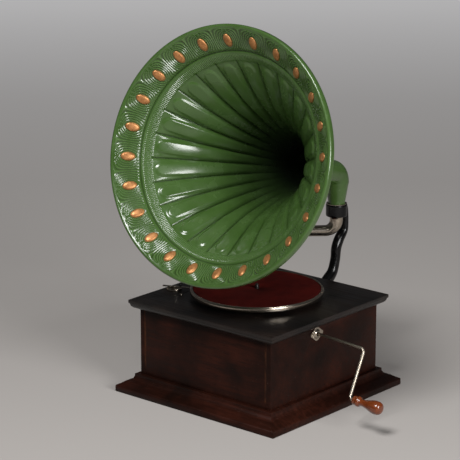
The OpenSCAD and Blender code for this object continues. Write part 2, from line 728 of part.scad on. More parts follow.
module pawl() color("#77777a") {
  back = unit(pawl_at - [arbor_x, crank_y] - pawl_tip);
  out = [cos(pawl_angle), sin(pawl_angle)];
  tip = [arbor_x, crank_y] + pawl_tip;
  translate([pawl_at[0], pawl_at[1], ratchet_z]) rotate([0, 0, pawl_up])
    translate([-pawl_at[0], -pawl_at[1], 0]) difference() {
    union() {
      linear_extrude(ratchet_t) polygon([tip, tip + out * 3.2, pawl_at + out * 3, pawl_at - out * 1.5 - back * 3]);
      translate([pawl_at[0], pawl_at[1], 0]) cylinder(h = ratchet_t, r = pawl_post_r + 2);
    }
    translate([pawl_at[0], pawl_at[1], -1]) cylinder(h = ratchet_t + 2, r = pawl_post_r + run_gap);
  }
}

module pawl_spring() color("#5c6474") {
  turns = 3;
  steps = 12;
  wire = 0.5;
  coil = pawl_post_r + wire + 0.4;
  rise = (ratchet_t + 5) / turns;
  path = [for (i = [0:turns * steps]) let (a = 360 * i / steps)
    [[coil * cos(a), coil * sin(a), rise * i / steps], unit([-coil * sin(a), coil * cos(a), rise / 6.28])]];
  translate([pawl_at[0], pawl_at[1], ratchet_z + ratchet_t + wire + 0.3])
    loft(rings(path, [for (p = path) wire], [0, 0, 1], 6));
}

// Wheels between the barrel and the turntable

module intermediate_arbor() color("#8f8f92") translate([inter_x, inter_y, 0]) union() {
  translate([0, 0, lower_z]) cylinder(h = wall_top - lower_z, r = inter_r);
  translate([0, 0, wheel_z + wheel_t]) linear_extrude(barrel_z + tooth_w + 1 - wheel_z - wheel_t)
    polygon(gear_outline(barrel_module, inter_leaves));
}

module intermediate_wheel() color("#9a8450") translate([inter_x, inter_y, wheel_z]) difference() {
  linear_extrude(wheel_t) polygon(gear_outline(wheel_module, wheel_teeth));
  translate([0, 0, -1]) cylinder(h = wheel_t + 2, r = inter_r + seat);
  for (a = [45:90:315]) rotate([0, 0, a]) translate([wheel_pitch * 0.56, 0, -1]) cylinder(h = wheel_t + 2, r = 5.5);
}

module turntable_spindle() color("#8f8f92") translate([spin[0], spin[1], 0]) union() {
  translate([0, 0, lower_z + 1]) cylinder(h = pin_z - 1 - lower_z - 1, r = journal_r);
  translate([0, 0, pin_z - 1]) cylinder(h = 1, r1 = journal_r, r2 = spindle_r);
  translate([0, 0, pin_z]) cylinder(h = spindle_top - 2 - pin_z, r = spindle_r);
  translate([0, 0, spindle_top - 2]) cylinder(h = 2, r1 = spindle_r, r2 = spindle_r - 1.4);
  translate([0, 0, wheel_z - 1]) rotate([0, 0, leaf_phase]) linear_extrude(wheel_t + 2)
    polygon(gear_outline(wheel_module, spindle_leaves));
  translate([0, 0, hub_z - 3]) cylinder(h = 3, r = journal_r + 2.6);
}

fibre_t = 5;

module fibre_wheel() color("#6e3f2a") translate([spin[0], spin[1], gov_z]) difference() {
  root = fibre_r - worm_up - 0.25;
  tip = fibre_r + worm_up;
  pitch = 2 * PI * fibre_r / fibre_teeth;
  union() {
    cylinder(h = fibre_t, r = root, center = true);
    for (i = [0:fibre_teeth - 1]) rotate([0, 0, 360 * i / fibre_teeth + 180]) rotate([-worm_slant, 0, 0])
      linear_extrude(fibre_t * 0.9, center = true) polygon([[root - 1.5, -pitch * 0.34], [root, -pitch * 0.34],
        [tip, -pitch * 0.13], [tip, pitch * 0.13], [root, pitch * 0.34], [root - 1.5, pitch * 0.34]]);
  }
  cylinder(h = fibre_t + 2, r = journal_r + seat, center = true);
}

// Governor

// Section of the worm: one lobe for each thread
worm_section = [for (i = [0:worm_starts - 1]) let (step = 360 / worm_starts)
  let (root = worm_r - worm_down, tip = worm_r + worm_up)
  each [for (q = [[-0.31, root], [-0.11, tip], [0.11, tip], [0.31, root]])
    let (a = step * (i + q[0])) q[1] * [cos(a), sin(a)]]];

module along_governor(y) translate([gov_x, y, gov_z]) rotate([-90, 0, 0]) children();

module governor_shaft() color("#8f8f92") union() {
  along_governor(gov_start) cylinder(h = gov_end - gov_start, r = gov_r);
  along_governor(spindle_y) rotate([0, 0, worm_phase]) translate([0, 0, -worm_half])
    linear_extrude(2 * worm_half, twist = -360 * 2 * worm_half / worm_lead, slices = 46, $fn = 16)
      polygon(worm_section);
  along_governor(gov_collar - gov_collar_t / 2) cylinder(h = gov_collar_t, r = gov_collar_r);
}

// Turn of the worm's lower end that puts a gap of its thread on the line between the two shafts
worm_phase = 180 / worm_starts - 360 * worm_half / worm_lead;

module governor_disc() color("#8c8a86") along_governor(gov_disc_y - gov_collar_t / 2) difference() {
  union() {
    cylinder(h = gov_collar_t + gov_disc_t, r = gov_collar_r);
    translate([0, 0, gov_collar_t]) cylinder(h = gov_disc_t, r = gov_disc_r);
  }
  translate([0, 0, -1]) cylinder(h = 12, r = gov_r + run_gap);
}

strip_t = 0.4;
strip_w = 6;
strip_bow_r = (gov_span * gov_span / 4 + gov_bow * gov_bow) / (2 * gov_bow);
strip_base = gov_collar_r + seat;

module governor_springs() color("#5c6474")
  for (a = [0, 120, 240]) along_governor(gov_collar) rotate([0, 0, a]) rotate([90, 0, 0])
    linear_extrude(strip_w, center = true) intersection() {
      translate([strip_base + gov_bow - strip_bow_r, gov_span / 2]) difference() {
        circle(r = strip_bow_r);
        circle(r = strip_bow_r - strip_t);
      }
      translate([strip_base, -1]) square([gov_bow + 5, gov_span + 2]);
    }

module governor_weights() color("#7d7a75")
  for (a = [0, 120, 240]) along_governor(gov_collar + gov_span / 2) rotate([0, 0, a])
    translate([strip_base + gov_bow + seat, 0, 0]) rotate([0, 90, 0]) cylinder(h = 5, r = weight_r);

module governor_bearings() color("#9a8450")
  for (y = [gov_start, gov_end - bearing_t]) difference() {
    translate([gov_x - 4, y, gov_z - 6]) cube([8, bearing_t, frame_z - gov_z + 6]);
    translate([0, y - spindle_y, 0]) along_governor(spindle_y - 1) cylinder(h = bearing_t + 2, r = gov_r + run_gap);
  }

module bar(a, b, wide, z, thick) {
  d = b - a;
  translate([a[0], a[1], z]) rotate([0, 0, atan2(d[1], d[0])]) translate([0, -wide / 2, 0])
    cube([norm(d), wide, thick]);
}

// The lever's long arm runs past the screw's cam with a small gap
cam_gap = speed_cam_r + pass + lever_w / 2;
lever_dir = atan2(speed_at[1] - lever_at[1], speed_at[0] - lever_at[0]) + asin(cam_gap / norm(speed_at - lever_at));
lever_far = lever_at + (norm(speed_at - lever_at) + 5) * [cos(lever_dir), sin(lever_dir)];

module regulator_lever() color("#6f6f72") {
  near = [pad_x, pad_y + pad_t + 1.5];
  difference() {
    union() {
      bar(lever_at, lever_far, lever_w, lever_z, lever_t);
      bar(lever_at, near, lever_w, lever_z, lever_t);
      translate([lever_at[0], lever_at[1], lever_z]) cylinder(h = lever_t, r = lever_w * 0.75);
      translate([near[0] - 3, pad_y + pad_t, pad_z - pad_r]) cube([6, 3, lever_z + lever_t - pad_z + pad_r]);
    }
    translate([lever_at[0], lever_at[1], lever_z - 1]) cylinder(h = lever_t + 2, r = 2 + run_gap);
  }
}

module regulator_pad() color("#7a5a3a") translate([pad_x, pad_y, pad_z]) rotate([-90, 0, 0])
  cylinder(h = pad_t, r = pad_r);

module speed_screw() color("#b8aea0") translate([speed_at[0], speed_at[1], 0]) difference() {
  union() {
    translate(-cam_off * [cos(lever_dir), sin(lever_dir), 0]) translate([0, 0, lever_z - 2])
      cylinder(h = lever_t + 4, r = speed_cam_r);
    translate([0, 0, lever_z - 2]) cylinder(h = wall_top - 1 - lever_z + 2, r = speed_r);
    translate([0, 0, wall_top - 2]) cylinder(h = board_t + 4, r = speed_r);
    translate([0, 0, board_top + 0.3]) cylinder(h = 2.7, r1 = 3.2, r2 = 2.6);
  }
  translate([-4, -0.4, board_top + 2.2]) cube([8, 0.8, 2]);
}

// Turntable

module turntable() color("#b8aea0") translate([spin[0], spin[1], 0]) difference() {
  union() {
    rotate_extrude($fn = 128) union() {
      translate([0, plate_z]) square([platter_r - rim_t + 0.5, plate_t]);
      translate([platter_r - rim_t, rim_z + 1]) square([rim_t - 1, rim_h - 2]);
      translate([platter_r - rim_t + 0.8, rim_z]) square([rim_t - 1.8, rim_h]);
      translate([platter_r - 1.6, rim_z + 2]) square([1.6, rim_h - 4]);
    }
    translate([0, 0, hub_z]) cylinder(h = plate_z - hub_z + 0.5, r = hub_r);
  }
  translate([0, 0, hub_z - 1]) cylinder(h = plate_top - hub_z + 2, r = journal_r + seat);
}

module felt_mat() color("#4a1512") translate([spin[0], spin[1], plate_top]) difference() {
  cylinder(h = felt_t, r = platter_r - rim_t - felt_gap, $fn = 128);
  translate([0, 0, -1]) cylinder(h = felt_t + 2, r = journal_r + 0.8);
}

// Brake

module brake_plate() color("#b8aea0") translate([brake_at[0], brake_at[1], board_top]) difference() {
  union() {
    cylinder(h = 3.2, r = brake_plate_r);
    cylinder(h = brake_z - board_top - run_gap, r = brake_post_r + 2);
    cylinder(h = brake_z - board_top + brake_lever_t + 0.1, r = brake_post_r);
    translate([0, 0, brake_z - board_top + brake_lever_t + 0.1])
      cylinder(h = 1, r1 = brake_post_r + 1.5, r2 = brake_post_r);
  }
  translate([0, 0, 1.4]) difference() {
    cylinder(h = 5, r = brake_plate_r - 2.2);
    translate([0, 0, -1]) cylinder(h = 7, r = brake_post_r + 2);
  }
}

// Drawn with the post over the origin and the turntable towards +X
module at_brake(z) translate([brake_at[0], brake_at[1], z]) rotate([0, 0, brake_turn]) children();

module brake_lever() color("#3a3835") at_brake(brake_z) difference() {
  stop = brake_reach - brake_pad_t;
  union() {
    translate([-brake_len, -2.6, 0]) cube([brake_len + stop, 5.2, brake_lever_t]);
    translate([stop - 1.6, -4, 0]) cube([1.6, 8, rim_top - 3 - brake_z]);
    cylinder(h = brake_lever_t, r = 5.5);
    translate([-brake_len, 0, 0]) cylinder(h = brake_lever_t, r = 3.4);
  }
  translate([0, 0, -1]) cylinder(h = 4, r = brake_post_r + run_gap);
}

module brake_knob() color("#1c1a18") at_brake(brake_z + brake_lever_t) translate([12, 0, 0])
  rotate_extrude() polygon([
    [0, 0], [1.8, 0], [1.6, 1.2], [3.1, 2.4], [3.4, 3.8], [2.8, 5], [1.4, 5.7], [0, 5.9]]);

module brake_pad() color("#6b4a2c") at_brake(rim_z + 1.5)
  translate([brake_reach - brake_pad_t, -4, 0]) cube([brake_pad_t, 8, rim_h - 4.5]);

// Crank

module crank_rod() color("#b8aea0") union() {
  path = concat([[[winding_x1 + 0.2, crank_y, crank_z], [1, 0, 0]]],
    bend([winding_x1, crank_y, crank_z], crank_a, crank_b, 60, 2),
    bend(crank_a, crank_b, crank_c, crank_bend, 6),
    bend(crank_b, crank_c, crank_c + droop * 40, crank_bend, 6),
    [[crank_c + droop * handle_start, droop]]);
  loft(rings(path, [for (p = path) rod_r], [0, 0, 1], 16));
  translate([winding_x1 - socket_deep + 1, crank_y, crank_z]) rotate([0, 90, 0]) cylinder(h = socket_deep, r = pin_r);
  translate(crank_c) rotate([0, crank_droop, 0]) rotate([0, 90, 0])
    translate([0, 0, handle_start - 2]) cylinder(h = handle_len - 1, r = pin_r);
}

// Turned handle along +X from 0
handle_profile = [[0, 0], [0.62, 0], [0.66, 0.03], [0.66, 0.10], [0.74, 0.13], [0.76, 0.17],
  [0.70, 0.21], [0.54, 0.23], [0.50, 0.30], [0.55, 0.40], [0.72, 0.53], [0.90, 0.65],
  [1, 0.77], [0.97, 0.87], [0.82, 0.95], [0.5, 0.99], [0, 1]];

module crank_handle() color("#7a3c1a") translate(crank_c) rotate([0, crank_droop, 0]) rotate([0, 90, 0])
  translate([0, 0, handle_start + 0.4]) difference() {
    rotate_extrude() polygon([for (p = handle_profile) [p[0] * handle_r, p[1] * handle_len]]);
    translate([0, 0, -1]) cylinder(h = handle_len - 1, r = pin_r + run_gap);
  }

// Bracket

// Middle line of the bracket's arm: back, height, thickness from front to back
collar_back = collar_y + collar_r;
bracket_line = [
  [collar_back - 1, collar_top - 4, 11],
  [collar_back + 2.5, collar_top - 18, 13],
  [collar_back + 3.5, collar_top - 42, 14],
  [collar_back + 1, collar_top - 59, 17],
  [collar_back - 12, collar_top - 75, 21],
  [collar_back - 20.5, collar_top - 92, 21],
  [collar_back - 23, collar_top - 112, 19],
  [collar_back - 31, collar_top - 136, 22],
  [collar_back - 46, collar_top - 150, 27],
  [collar_back - 67, collar_top - 168, 32],
  [half_d + foot_t, collar_top - 190, 34],
];

module bracket() color("#141414") difference() {
  union() {
    translate([0, collar_y, collar_z]) cylinder(h = collar_h, r = collar_r);
    bracket_arm();
    translate([0, half_d + foot_t, foot_top - foot_h / 2]) rotate([90, 0, 0]) linear_extrude(foot_t) union() {
      square([foot_w, foot_h - 20], center = true);
      square([foot_w - 20, foot_h], center = true);
      for (x = [-1, 1], z = [-1, 1]) translate([x * (foot_w / 2 - 10), z * (foot_h / 2 - 10)]) circle(r = 10);
    }
  }
  translate([0, collar_y, collar_top - sleeve_deep - 0.5]) cylinder(h = sleeve_deep + 1, r = sleeve_r + run_gap);
  translate([0, collar_y, shoulder_z]) cylinder(h = collar_h, r = sleeve_r - 1.5);
  translate([0, collar_y, collar_z - 1]) cylinder(h = collar_h, r = swivel_r + run_gap);
  for (s = foot_screws) translate([s[0], half_d + foot_t + 1, s[1]]) rotate([90, 0, 0])
    cylinder(h = foot_t + 2, r = foot_screw_r + seat);
}

module bracket_arm() {
  sides = 20;
  last = len(bracket_line) - 1;
  rows = [for (i = [0:last])
    let (p = bracket_line[i], q = bracket_line[min(i + 1, last)], o = bracket_line[max(i - 1, 0)])
    let (t = i == last ? [0, -1, 0] : unit([0, q[0] - o[0], q[1] - o[1]]), u = [1, 0, 0], v = cross(t, u))
    [for (k = [0:sides - 1]) let (a = 360 * k / sides)
      [0, p[0], p[1]] + bracket_w / 2 * cos(a) * u + p[2] / 2 * sin(a) * v]];
  loft(rows);
}

module bracket_screws() color("#3a3a3a")
  for (s = foot_screws) translate([s[0], half_d + foot_t, s[1]]) rotate([90, 0, 0])
    wood_screw(foot_screw_r, 5, foot_t + wall_t - 2);

module collar_ring() color("#c8c0b4") translate([0, collar_y, collar_top]) difference() {
  union() {
    translate([0, 0, -sleeve_deep]) cylinder(h = sleeve_deep + 0.5, r = sleeve_r);
    translate([0, 0, run_gap]) cylinder(h = 1.2, r = collar_r - 0.6);
  }
  translate([0, 0, -sleeve_deep - 1]) cylinder(h = sleeve_deep + 4, r = elbow_r + 0.1);
}

// Tone arm, drawn with its pivot over the origin, its tube along +X and the soundbox towards +Y
module at_arm() translate([0, collar_y, 0]) rotate([0, 0, 270 - arm_angle]) children();

arm_top = shoulder_z + 5;
arm_p1 = [0, 0, arm_z];
arm_p2 = [arm_len - slope_len * cos(arm_slope), 0, arm_z];
arm_p3 = [arm_len, 0, stub_z];
arm_p4 = [arm_len, box_y - 1, stub_z];

module tone_arm() color("#b8aea0") at_arm() union() {
  path = concat([[[0, 0, arm_top], [0, 0, -1]]],
    bend([0, 0, arm_top], arm_p1, arm_p2, 22, 6),
    bend(arm_p1, arm_p2, arm_p3, 60, 3),
    bend(arm_p2, arm_p3, arm_p4, 12, 6),
    [[arm_p4, [0, 1, 0]]]);
  last = len(path) - 1;
  wide = function (i) pivot_tube_r - 2 * max(0, i - 1) / 6;
  outer = [for (i = [0:last]) i < 8 ? wide(i) : i < last - 7 ? tube_r - 0.4 : stub_r];
  tube(path, outer, [for (r = outer) r - tube_t], [0, 1, 0], 24);
  translate([0, 0, arm_z + 26]) difference() {
    cylinder(h = arm_top - arm_z - 26, r = swivel_r);
    translate([0, 0, -1]) cylinder(h = 40, r = pivot_tube_r - tube_t * 0.6);
  }
  translate([0, 0, shoulder_z + run_gap]) difference() {
    cylinder(h = 3, r = swivel_r + 2);
    translate([0, 0, -1]) cylinder(h = 5, r = pivot_tube_r - tube_t * 0.6);
  }
  translate([arm_len, 13, stub_z]) rotate([-90, 0, 0]) difference() {
    cylinder(h = box_y - 14, r = stub_sleeve_r);
    translate([0, 0, -1]) cylinder(h = 20, r = stub_r - tube_t * 0.6);
  }
}

// Soundbox, drawn with the axis of its disc along +Y through the end of the arm
module at_box() at_arm() translate([arm_len, 0, stub_z]) children();
module across(y) translate([0, y, 0]) rotate([-90, 0, 0]) children();

module soundbox_case() color("#b0a89c") at_box() difference() {
  union() {
    across(box_y) cylinder(h = box_t, r = box_r);
    across(box_y - 8) cylinder(h = 9, r = stub_sleeve_r + 2.2);
  }
  across(box_y + 2.5) cylinder(h = box_t, r = box_r - 4);
  across(box_y - 9) cylinder(h = 9, r = stub_sleeve_r + run_gap);
  across(box_y - 1) cylinder(h = 5, r = stub_r - tube_t);
}

module soundbox_ring() color("#c8c0b4") at_box() difference() {
  union() {
    across(box_front) cylinder(h = bezel_t, r = box_r);
    for (x = [-1, 1]) translate([x * 4 - 1, box_front, -pivot_down - 2]) cube([2, bezel_t + 1 + bar_t, 4]);
    translate([-4, bar_y + bar_t / 2, -pivot_down]) rotate([0, 90, 0]) cylinder(h = 8, r = 0.8);
  }
  across(box_front - 1) cylinder(h = bezel_t + 2, r = box_r - 6);
}

module diaphragm() color("#d8cfae") at_box() across(box_front - 2.5) cylinder(h = mica_t, r = box_r - 4 - seat);

module gaskets() color("#2b2624") at_box() {
  for (y = [[box_front - 4.5, 2 - seat], [box_front - 2.5 + mica_t + seat, 2.5 - mica_t - seat]])
    across(y[0]) difference() {
      cylinder(h = y[1], r = box_r - 4 - seat);
      translate([0, 0, -1]) cylinder(h = 5, r = box_r - 6.5);
    }
}

needle_dir = [sin(needle_lean), 0, -cos(needle_lean)];
holder_mid = [0, bar_y + bar_t / 2, -holder_down];

module along_needle(back) translate(holder_mid - needle_dir * back) rotate([0, 180 - needle_lean, 0]) children();

module stylus_bar() color("#9a958c") at_box() difference() {
  union() {
    translate([-1.2, bar_y, -holder_down]) cube([2.4, bar_t, holder_down + 2]);
    translate([-2, bar_y, -pivot_down - 2]) cube([4, bar_t, 4]);
    across(box_front - 2.5 + mica_t + 0.3) cylinder(h = bar_y - box_front + 2.5, r = 0.8);
    along_needle(holder_len / 2) cylinder(h = holder_len, r = holder_r);
  }
  along_needle(holder_len / 2 - 2) cylinder(h = holder_len, r = needle_r + seat);
  translate([-3, bar_y + bar_t / 2, -pivot_down]) rotate([0, 90, 0]) cylinder(h = 6, r = 0.8 + run_gap);
  translate(holder_mid) rotate([-90, 0, 0]) cylinder(h = 5, r = 0.9 + run_gap);
}

module needle() color("#c9c9cc") at_box() along_needle(1.8) union() {
  cylinder(h = needle_len - 4, r = needle_r);
  translate([0, 0, needle_len - 4]) cylinder(h = 4, r1 = needle_r, r2 = 0.15);
}

module needle_screw() color("#b8aea0") at_box() translate(holder_mid) rotate([-90, 0, 0])
  translate([0, 0, needle_r + 0.15]) union() {
    cylinder(h = 4, r = 0.9);
    translate([0, 0, holder_r - needle_r + 0.5]) cylinder(h = 3.5, r = 2.3);
  }

// Horn

// Drawn with its axis along +Z and the bosses' circle in the XY plane
module at_horn() translate(elbow_at + horn_dir * horn_reach) rotate([0, 0, horn_turn])
  rotate([90 - horn_tilt, 0, 0]) rotate([0, 0, 180 / flutes]) children();

module horn_elbow() color("#3f6a33") {
  end = elbow_at + horn_dir * (horn_reach - horn_len + neck_len - 4);
  start = [0, collar_y, collar_top - sleeve_deep];
  sleeve_end = [0, collar_y, collar_top + 4];
  path = concat([[start, [0, 0, 1]], [sleeve_end, [0, 0, 1]]],
    bend(start, elbow_at, end, elbow_bend, 9), [[end, horn_dir]]);
  wide = neck_r - pass;
  outer = [for (i = [0:len(path) - 1]) i < 2 ? elbow_r : wide];
  tube(path, outer, [for (r = outer) r - horn_t], [1, 0, 0], 32);
}

// Middle line of the horn's wall: radius and height, from the neck to the lip
boss_ring_r = horn_r - boss_in;
groove_r = horn_r - groove_in;
flute_end_r = horn_r - flute_in;
flute_low = -27;
band_slope = 41;
groove_low = (groove_r - boss_ring_r) * tan(band_slope) - 1.4;
band_r = [groove_r + 4.5, horn_r - 10.5];
// The lip is a hook of the same sheet, rolled backwards, and the band runs into it without a step
lip_mid = [horn_r - lip_roll, (horn_r - lip_roll - boss_ring_r) * tan(band_slope) - lip_roll / cos(band_slope)];
lip_turns = [230, 270, 310, 350, 370, 420, 450 + band_slope];
flare_rows = 10;
flare_start = -horn_len + neck_len;
// Share of the flare's widening: nearly a plain cone at the neck, then a quicker opening towards the mouth
function widening(u) = 0.7 * pow(u, 1.2) + 0.3 * pow(u, 4.45);
function flare(u) =
  [neck_r + (flute_end_r - neck_r) * widening(u), flare_start + (flute_low - flare_start) * u];
horn_line = concat([[neck_r, -horn_len]], [for (i = [0:flare_rows]) flare(sin(90 * i / flare_rows))],
  [[groove_r - 4, groove_low - 1.6], [groove_r, groove_low]],
  [for (r = band_r) [r, (r - boss_ring_r) * tan(band_slope)]]);
// Share of the full flute depth on each row of the horn's line
flute_shares = [0, 0, 0.35, 0.7, 1, 1, 1, 1, 1, 1, 0.92, 0.25, 0, 0, 0, 0];

// Rows of the horn's line at which its neck meets its bell, and its bell meets its rim
neck_row = 4;
rim_row = flare_rows + 2;
last_row = len(horn_line) - 1;
wall_steps = 4 * flutes;

// Points of one face of the wall on a row, moved by off along the wall's normal and creased between flutes
function horn_wall(i, off) =
  let (p = horn_line[i], q = horn_line[min(i + 1, last_row)], o = horn_line[max(i - 1, 0)])
  let (t = unit(q - o), n = [t[1], -t[0]], crease = flute_depth * flute_shares[i] * p[0] / flute_end_r)
  [for (k = [0:wall_steps - 1])
    let (a = 360 * k / wall_steps, dent = off + crease * (1 - abs(sin(180 * k / 4))))
    [(p[0] + n[0] * dent) * cos(a), (p[0] + n[0] * dent) * sin(a), p[1] + n[1] * dent]];

function horn_walls(first, last, off) = [for (i = [first:last]) horn_wall(i, off)];

module horn_neck() color("#47703a") at_horn()
  loft(concat(horn_walls(0, neck_row, horn_t), reversed(horn_walls(0, neck_row, 0))), closed = true);

module horn_bell() color("#4f7a3c") at_horn()
  loft(concat(horn_walls(neck_row, rim_row, horn_t), reversed(horn_walls(neck_row, rim_row, 0))), closed = true);

// Points of the lip's outer face, or of the face that is off inside it
function curl(off) = [for (a = lip_turns)
  let (c = lip_mid + (lip_roll - off) * [cos(a), sin(a)] - [0, a < 360 ? lip_back : 0])
  [for (k = [0:wall_steps - 1]) let (b = 360 * k / wall_steps) [c[0] * cos(b), c[0] * sin(b), c[1]]]];

module horn_rim() color("#527f3f") at_horn()
  loft(concat(horn_walls(rim_row, last_row, horn_t), reversed(curl(horn_t)), curl(0),
    reversed(horn_walls(rim_row, last_row, 0))), closed = true);

module horn_bosses() color("#c08a55") at_horn() {
  // Oval outlines of one boss, from its foot to its crown: share of the size, share of the height
  steps = [[1, 0], [0.93, 0.42], [0.72, 0.76], [0.36, 0.96]];
  rows = [for (s = steps) [for (k = [0:15]) let (a = 22.5 * k)
    [s[0] * boss_long * cos(a), s[0] * boss_wide * sin(a), 6 * seat + s[1] * boss_high]]];
  for (i = [0:flutes - 1]) rotate([0, 0, 360 * i / flutes]) translate([boss_ring_r, 0, 0]) rotate([0, -band_slope, 0])
    loft(rows);
}

front_panel();
back_panel();
left_panel();
right_panel();
bottom_board();
top_board();
plinth_mouldings();
corner_blocks();
case_screws();
crank_escutcheon();
escutcheon_screws();
motor_plate();
lower_plate();
motor_pillars();
motor_screws();
spring_barrel();
barrel_cover();
barrel_arbor();
mainspring();
winding_shaft();
winding_pinion();
arbor_gear();
ratchet_wheel();
pawl();
pawl_spring();
intermediate_arbor();
intermediate_wheel();
turntable_spindle();
fibre_wheel();
governor_shaft();
governor_disc();
governor_springs();
governor_weights();
governor_bearings();
regulator_lever();
regulator_pad();
speed_screw();
turntable();
felt_mat();
brake_plate();
brake_lever();
brake_knob();
brake_pad();
crank_rod();
crank_handle();
bracket();
bracket_screws();
collar_ring();
tone_arm();
soundbox_case();
soundbox_ring();
diaphragm();
gaskets();
stylus_bar();
needle();
needle_screw();
horn_elbow();
horn_neck();
horn_bell();
horn_rim();
horn_bosses();
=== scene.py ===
import json
from functools import cache
from math import atan2, cos, pi, radians, sin, tan

import bpy
import numpy as np
from bpy.props import FloatProperty, FloatVectorProperty, PointerProperty
from bpy.types import Operator, Panel, PropertyGroup
from mathutils import Matrix, Vector

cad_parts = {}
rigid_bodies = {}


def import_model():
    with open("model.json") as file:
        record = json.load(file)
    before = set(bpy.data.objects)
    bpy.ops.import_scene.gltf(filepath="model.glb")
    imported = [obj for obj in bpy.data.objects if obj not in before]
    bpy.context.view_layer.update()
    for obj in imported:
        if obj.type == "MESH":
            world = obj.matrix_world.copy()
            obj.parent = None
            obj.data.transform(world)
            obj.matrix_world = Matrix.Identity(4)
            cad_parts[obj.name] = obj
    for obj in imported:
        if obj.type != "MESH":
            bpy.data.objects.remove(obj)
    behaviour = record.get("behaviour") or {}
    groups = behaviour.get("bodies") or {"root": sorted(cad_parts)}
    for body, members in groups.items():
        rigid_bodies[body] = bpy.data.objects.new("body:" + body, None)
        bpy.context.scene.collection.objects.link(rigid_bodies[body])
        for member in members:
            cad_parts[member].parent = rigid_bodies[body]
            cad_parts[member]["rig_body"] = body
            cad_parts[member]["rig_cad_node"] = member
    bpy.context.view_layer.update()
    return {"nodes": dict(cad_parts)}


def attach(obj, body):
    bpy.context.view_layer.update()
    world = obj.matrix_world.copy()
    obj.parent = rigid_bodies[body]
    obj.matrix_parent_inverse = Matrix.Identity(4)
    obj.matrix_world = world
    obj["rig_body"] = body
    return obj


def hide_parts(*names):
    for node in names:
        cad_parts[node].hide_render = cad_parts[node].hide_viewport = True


bl_info = {
    "name": "Horn Gramophone",
    "version": (1, 0, 0),
    "blender": (4, 5, 0),
    "location": "View3D > Sidebar > Gramophone",
    "description": "Case, motor, crank, bracket, tone arm, soundbox and pressed horn of a table gramophone",
    "category": "Add Mesh",
}

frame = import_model()

# Sizes in this file are in millimetres and become metres where Blender is given them
MM = 0.001

# The case, from its middle, with the places of the turntable, the brake and the crank's shaft
HALF_W = 160
HALF_D = 158
WALL = 12
PLATTER_AT = Vector((-5, 0, 0))
BRAKE_AT = Vector((-155, -68, 0))
BRAKE_TURN = 24.39
SHAFT_AT = Vector((0, -26, 150))

# The collar that carries the horn and the tone arm, and the arm's length, height and turn
COLLAR_AT = Vector((0, 236, 0))
ARM_LEN = 225
STUB_Z = 243.9
ARM_TURN = 225

# The horn's own axes: its middle lies on the ring of bosses, and its axis points out of the mouth
FLUTES = 24
HORN_TILT = 15.7
HORN_TURN = 5.7
HORN_REACH = 403
HORN_DIR = Vector((sin(radians(HORN_TURN)) * cos(radians(HORN_TILT)),
                   -cos(radians(HORN_TURN)) * cos(radians(HORN_TILT)), sin(radians(HORN_TILT))))
ELBOW_AT = COLLAR_AT + Vector((0, 0, 380))
BOSS_R = 210
BAND_SLOPE = 41

# Light that the paper seems to give, at shares of the way from under the gramophone to its end, in metres
PAPER_GLOW = [(0, 0.0), (0.08, 0.0), (0.2, 0.03), (0.32, 0.06), (0.52, 0.15), (0.86, 0.35), (1, 0.4)]
PAPER_END = 5

# The camera's place in metres, its pitch and turn in degrees, and the way along the floor that it looks
CAMERA_AT = (2.526, -3.024, 1.413)
CAMERA_PITCH = 74.41
CAMERA_TURN = 40.67
FROM_CAMERA = (-sin(radians(CAMERA_TURN)), cos(radians(CAMERA_TURN)), 0)


# Colours and settings

def linear(code):
    """A hex colour as the linear red, green, blue and alpha that Blender works in."""
    parts = [int(code[k:k + 2], 16) / 255 for k in (1, 3, 5)]
    return tuple(c / 12.92 if c <= 0.04045 else ((c + 0.055) / 1.055) ** 2.4 for c in parts) + (1,)


def colour(name, description, code):
    return FloatVectorProperty(name=name, description=description, subtype="COLOR", size=4,
                               min=0, max=1, default=linear(code))


def amount(name, description, value, unit="NONE"):
    return FloatProperty(name=name, description=description, default=value, min=0, unit=unit)


def length(name, description, mm):
    return amount(name, description, mm * MM, "LENGTH")


class GramophoneHorn(PropertyGroup):
    wall: length("Wall", "Thickness of the horn's sheet steel", 1.4)
    crease: length("Crease", "Depth of the sharp crease between two flutes", 1.8)
    swell: length("Swell", "How far the crown of a flute stands over its creases", 3.2)
    step: length("Step", "How far a flute's raised finger stands over the plain sheet round it", 2.0)
    finger: length("Finger", "Half the width of a flute's raised finger", 14)
    rib: length("Rib", "Height of the fine ribs on the band, from valley to crest", 1.5)
    tick: length("Tick", "Height of the short strokes between the flutes and the groove", 1.0)
    rib_pitch: length("Rib pitch", "Distance from rib to rib half way across the band", 27.5 / 7)
    enamel: colour("Enamel", "Green of the horn", "#3c5826")
    # Both wear and a painted highlight: this green is also laid on the crests of ribs, strokes and bead
    enamel_wear_and_highlight: colour("Worn enamel", "Lighter green where the enamel is rubbed", "#5f7d4a")
    # Painted shade: the darker green laid in the creases, the groove and the rib valleys
    enamel_crease_shade: colour("Deep enamel", "Darker green in the creases and grooves", "#16240b")
    # Painted shade: the near black laid on the throat, where the lamps' light hardly reaches
    painted_throat_shade: colour("Soot", "Near black of the throat, where no light or cloth reaches", "#0c120a")
    bronze: colour("Bronze", "Bronze paint on the bosses", "#c88d58")
    bronze_dark: colour("Dark bronze", "Bronze paint where it has darkened", "#8f5c32")


class GramophoneCase(PropertyGroup):
    edge: length("Edge", "Rounding of the case's worn edges", 1.0)
    wood: colour("Wood", "Dark stain on the case", "#180b07")
    wood_red: colour("Red wood", "Red brown where the stain is thin", "#381910")
    board: colour("Board", "Almost black stain on the top board", "#0e0a09")
    wear: colour("Wear", "Bare wood along rubbed edges", "#7a4a2c")
    felt: colour("Felt", "Red wool of the mat", "#581611")
    felt_dark: colour("Dark felt", "Red wool where it is soiled", "#2f0a0a")
    handle: colour("Handle", "Varnished wood of the crank's handle", "#763612")
    handle_dark: colour("Handle grain", "Grain of the crank's handle", "#4a1f0a")


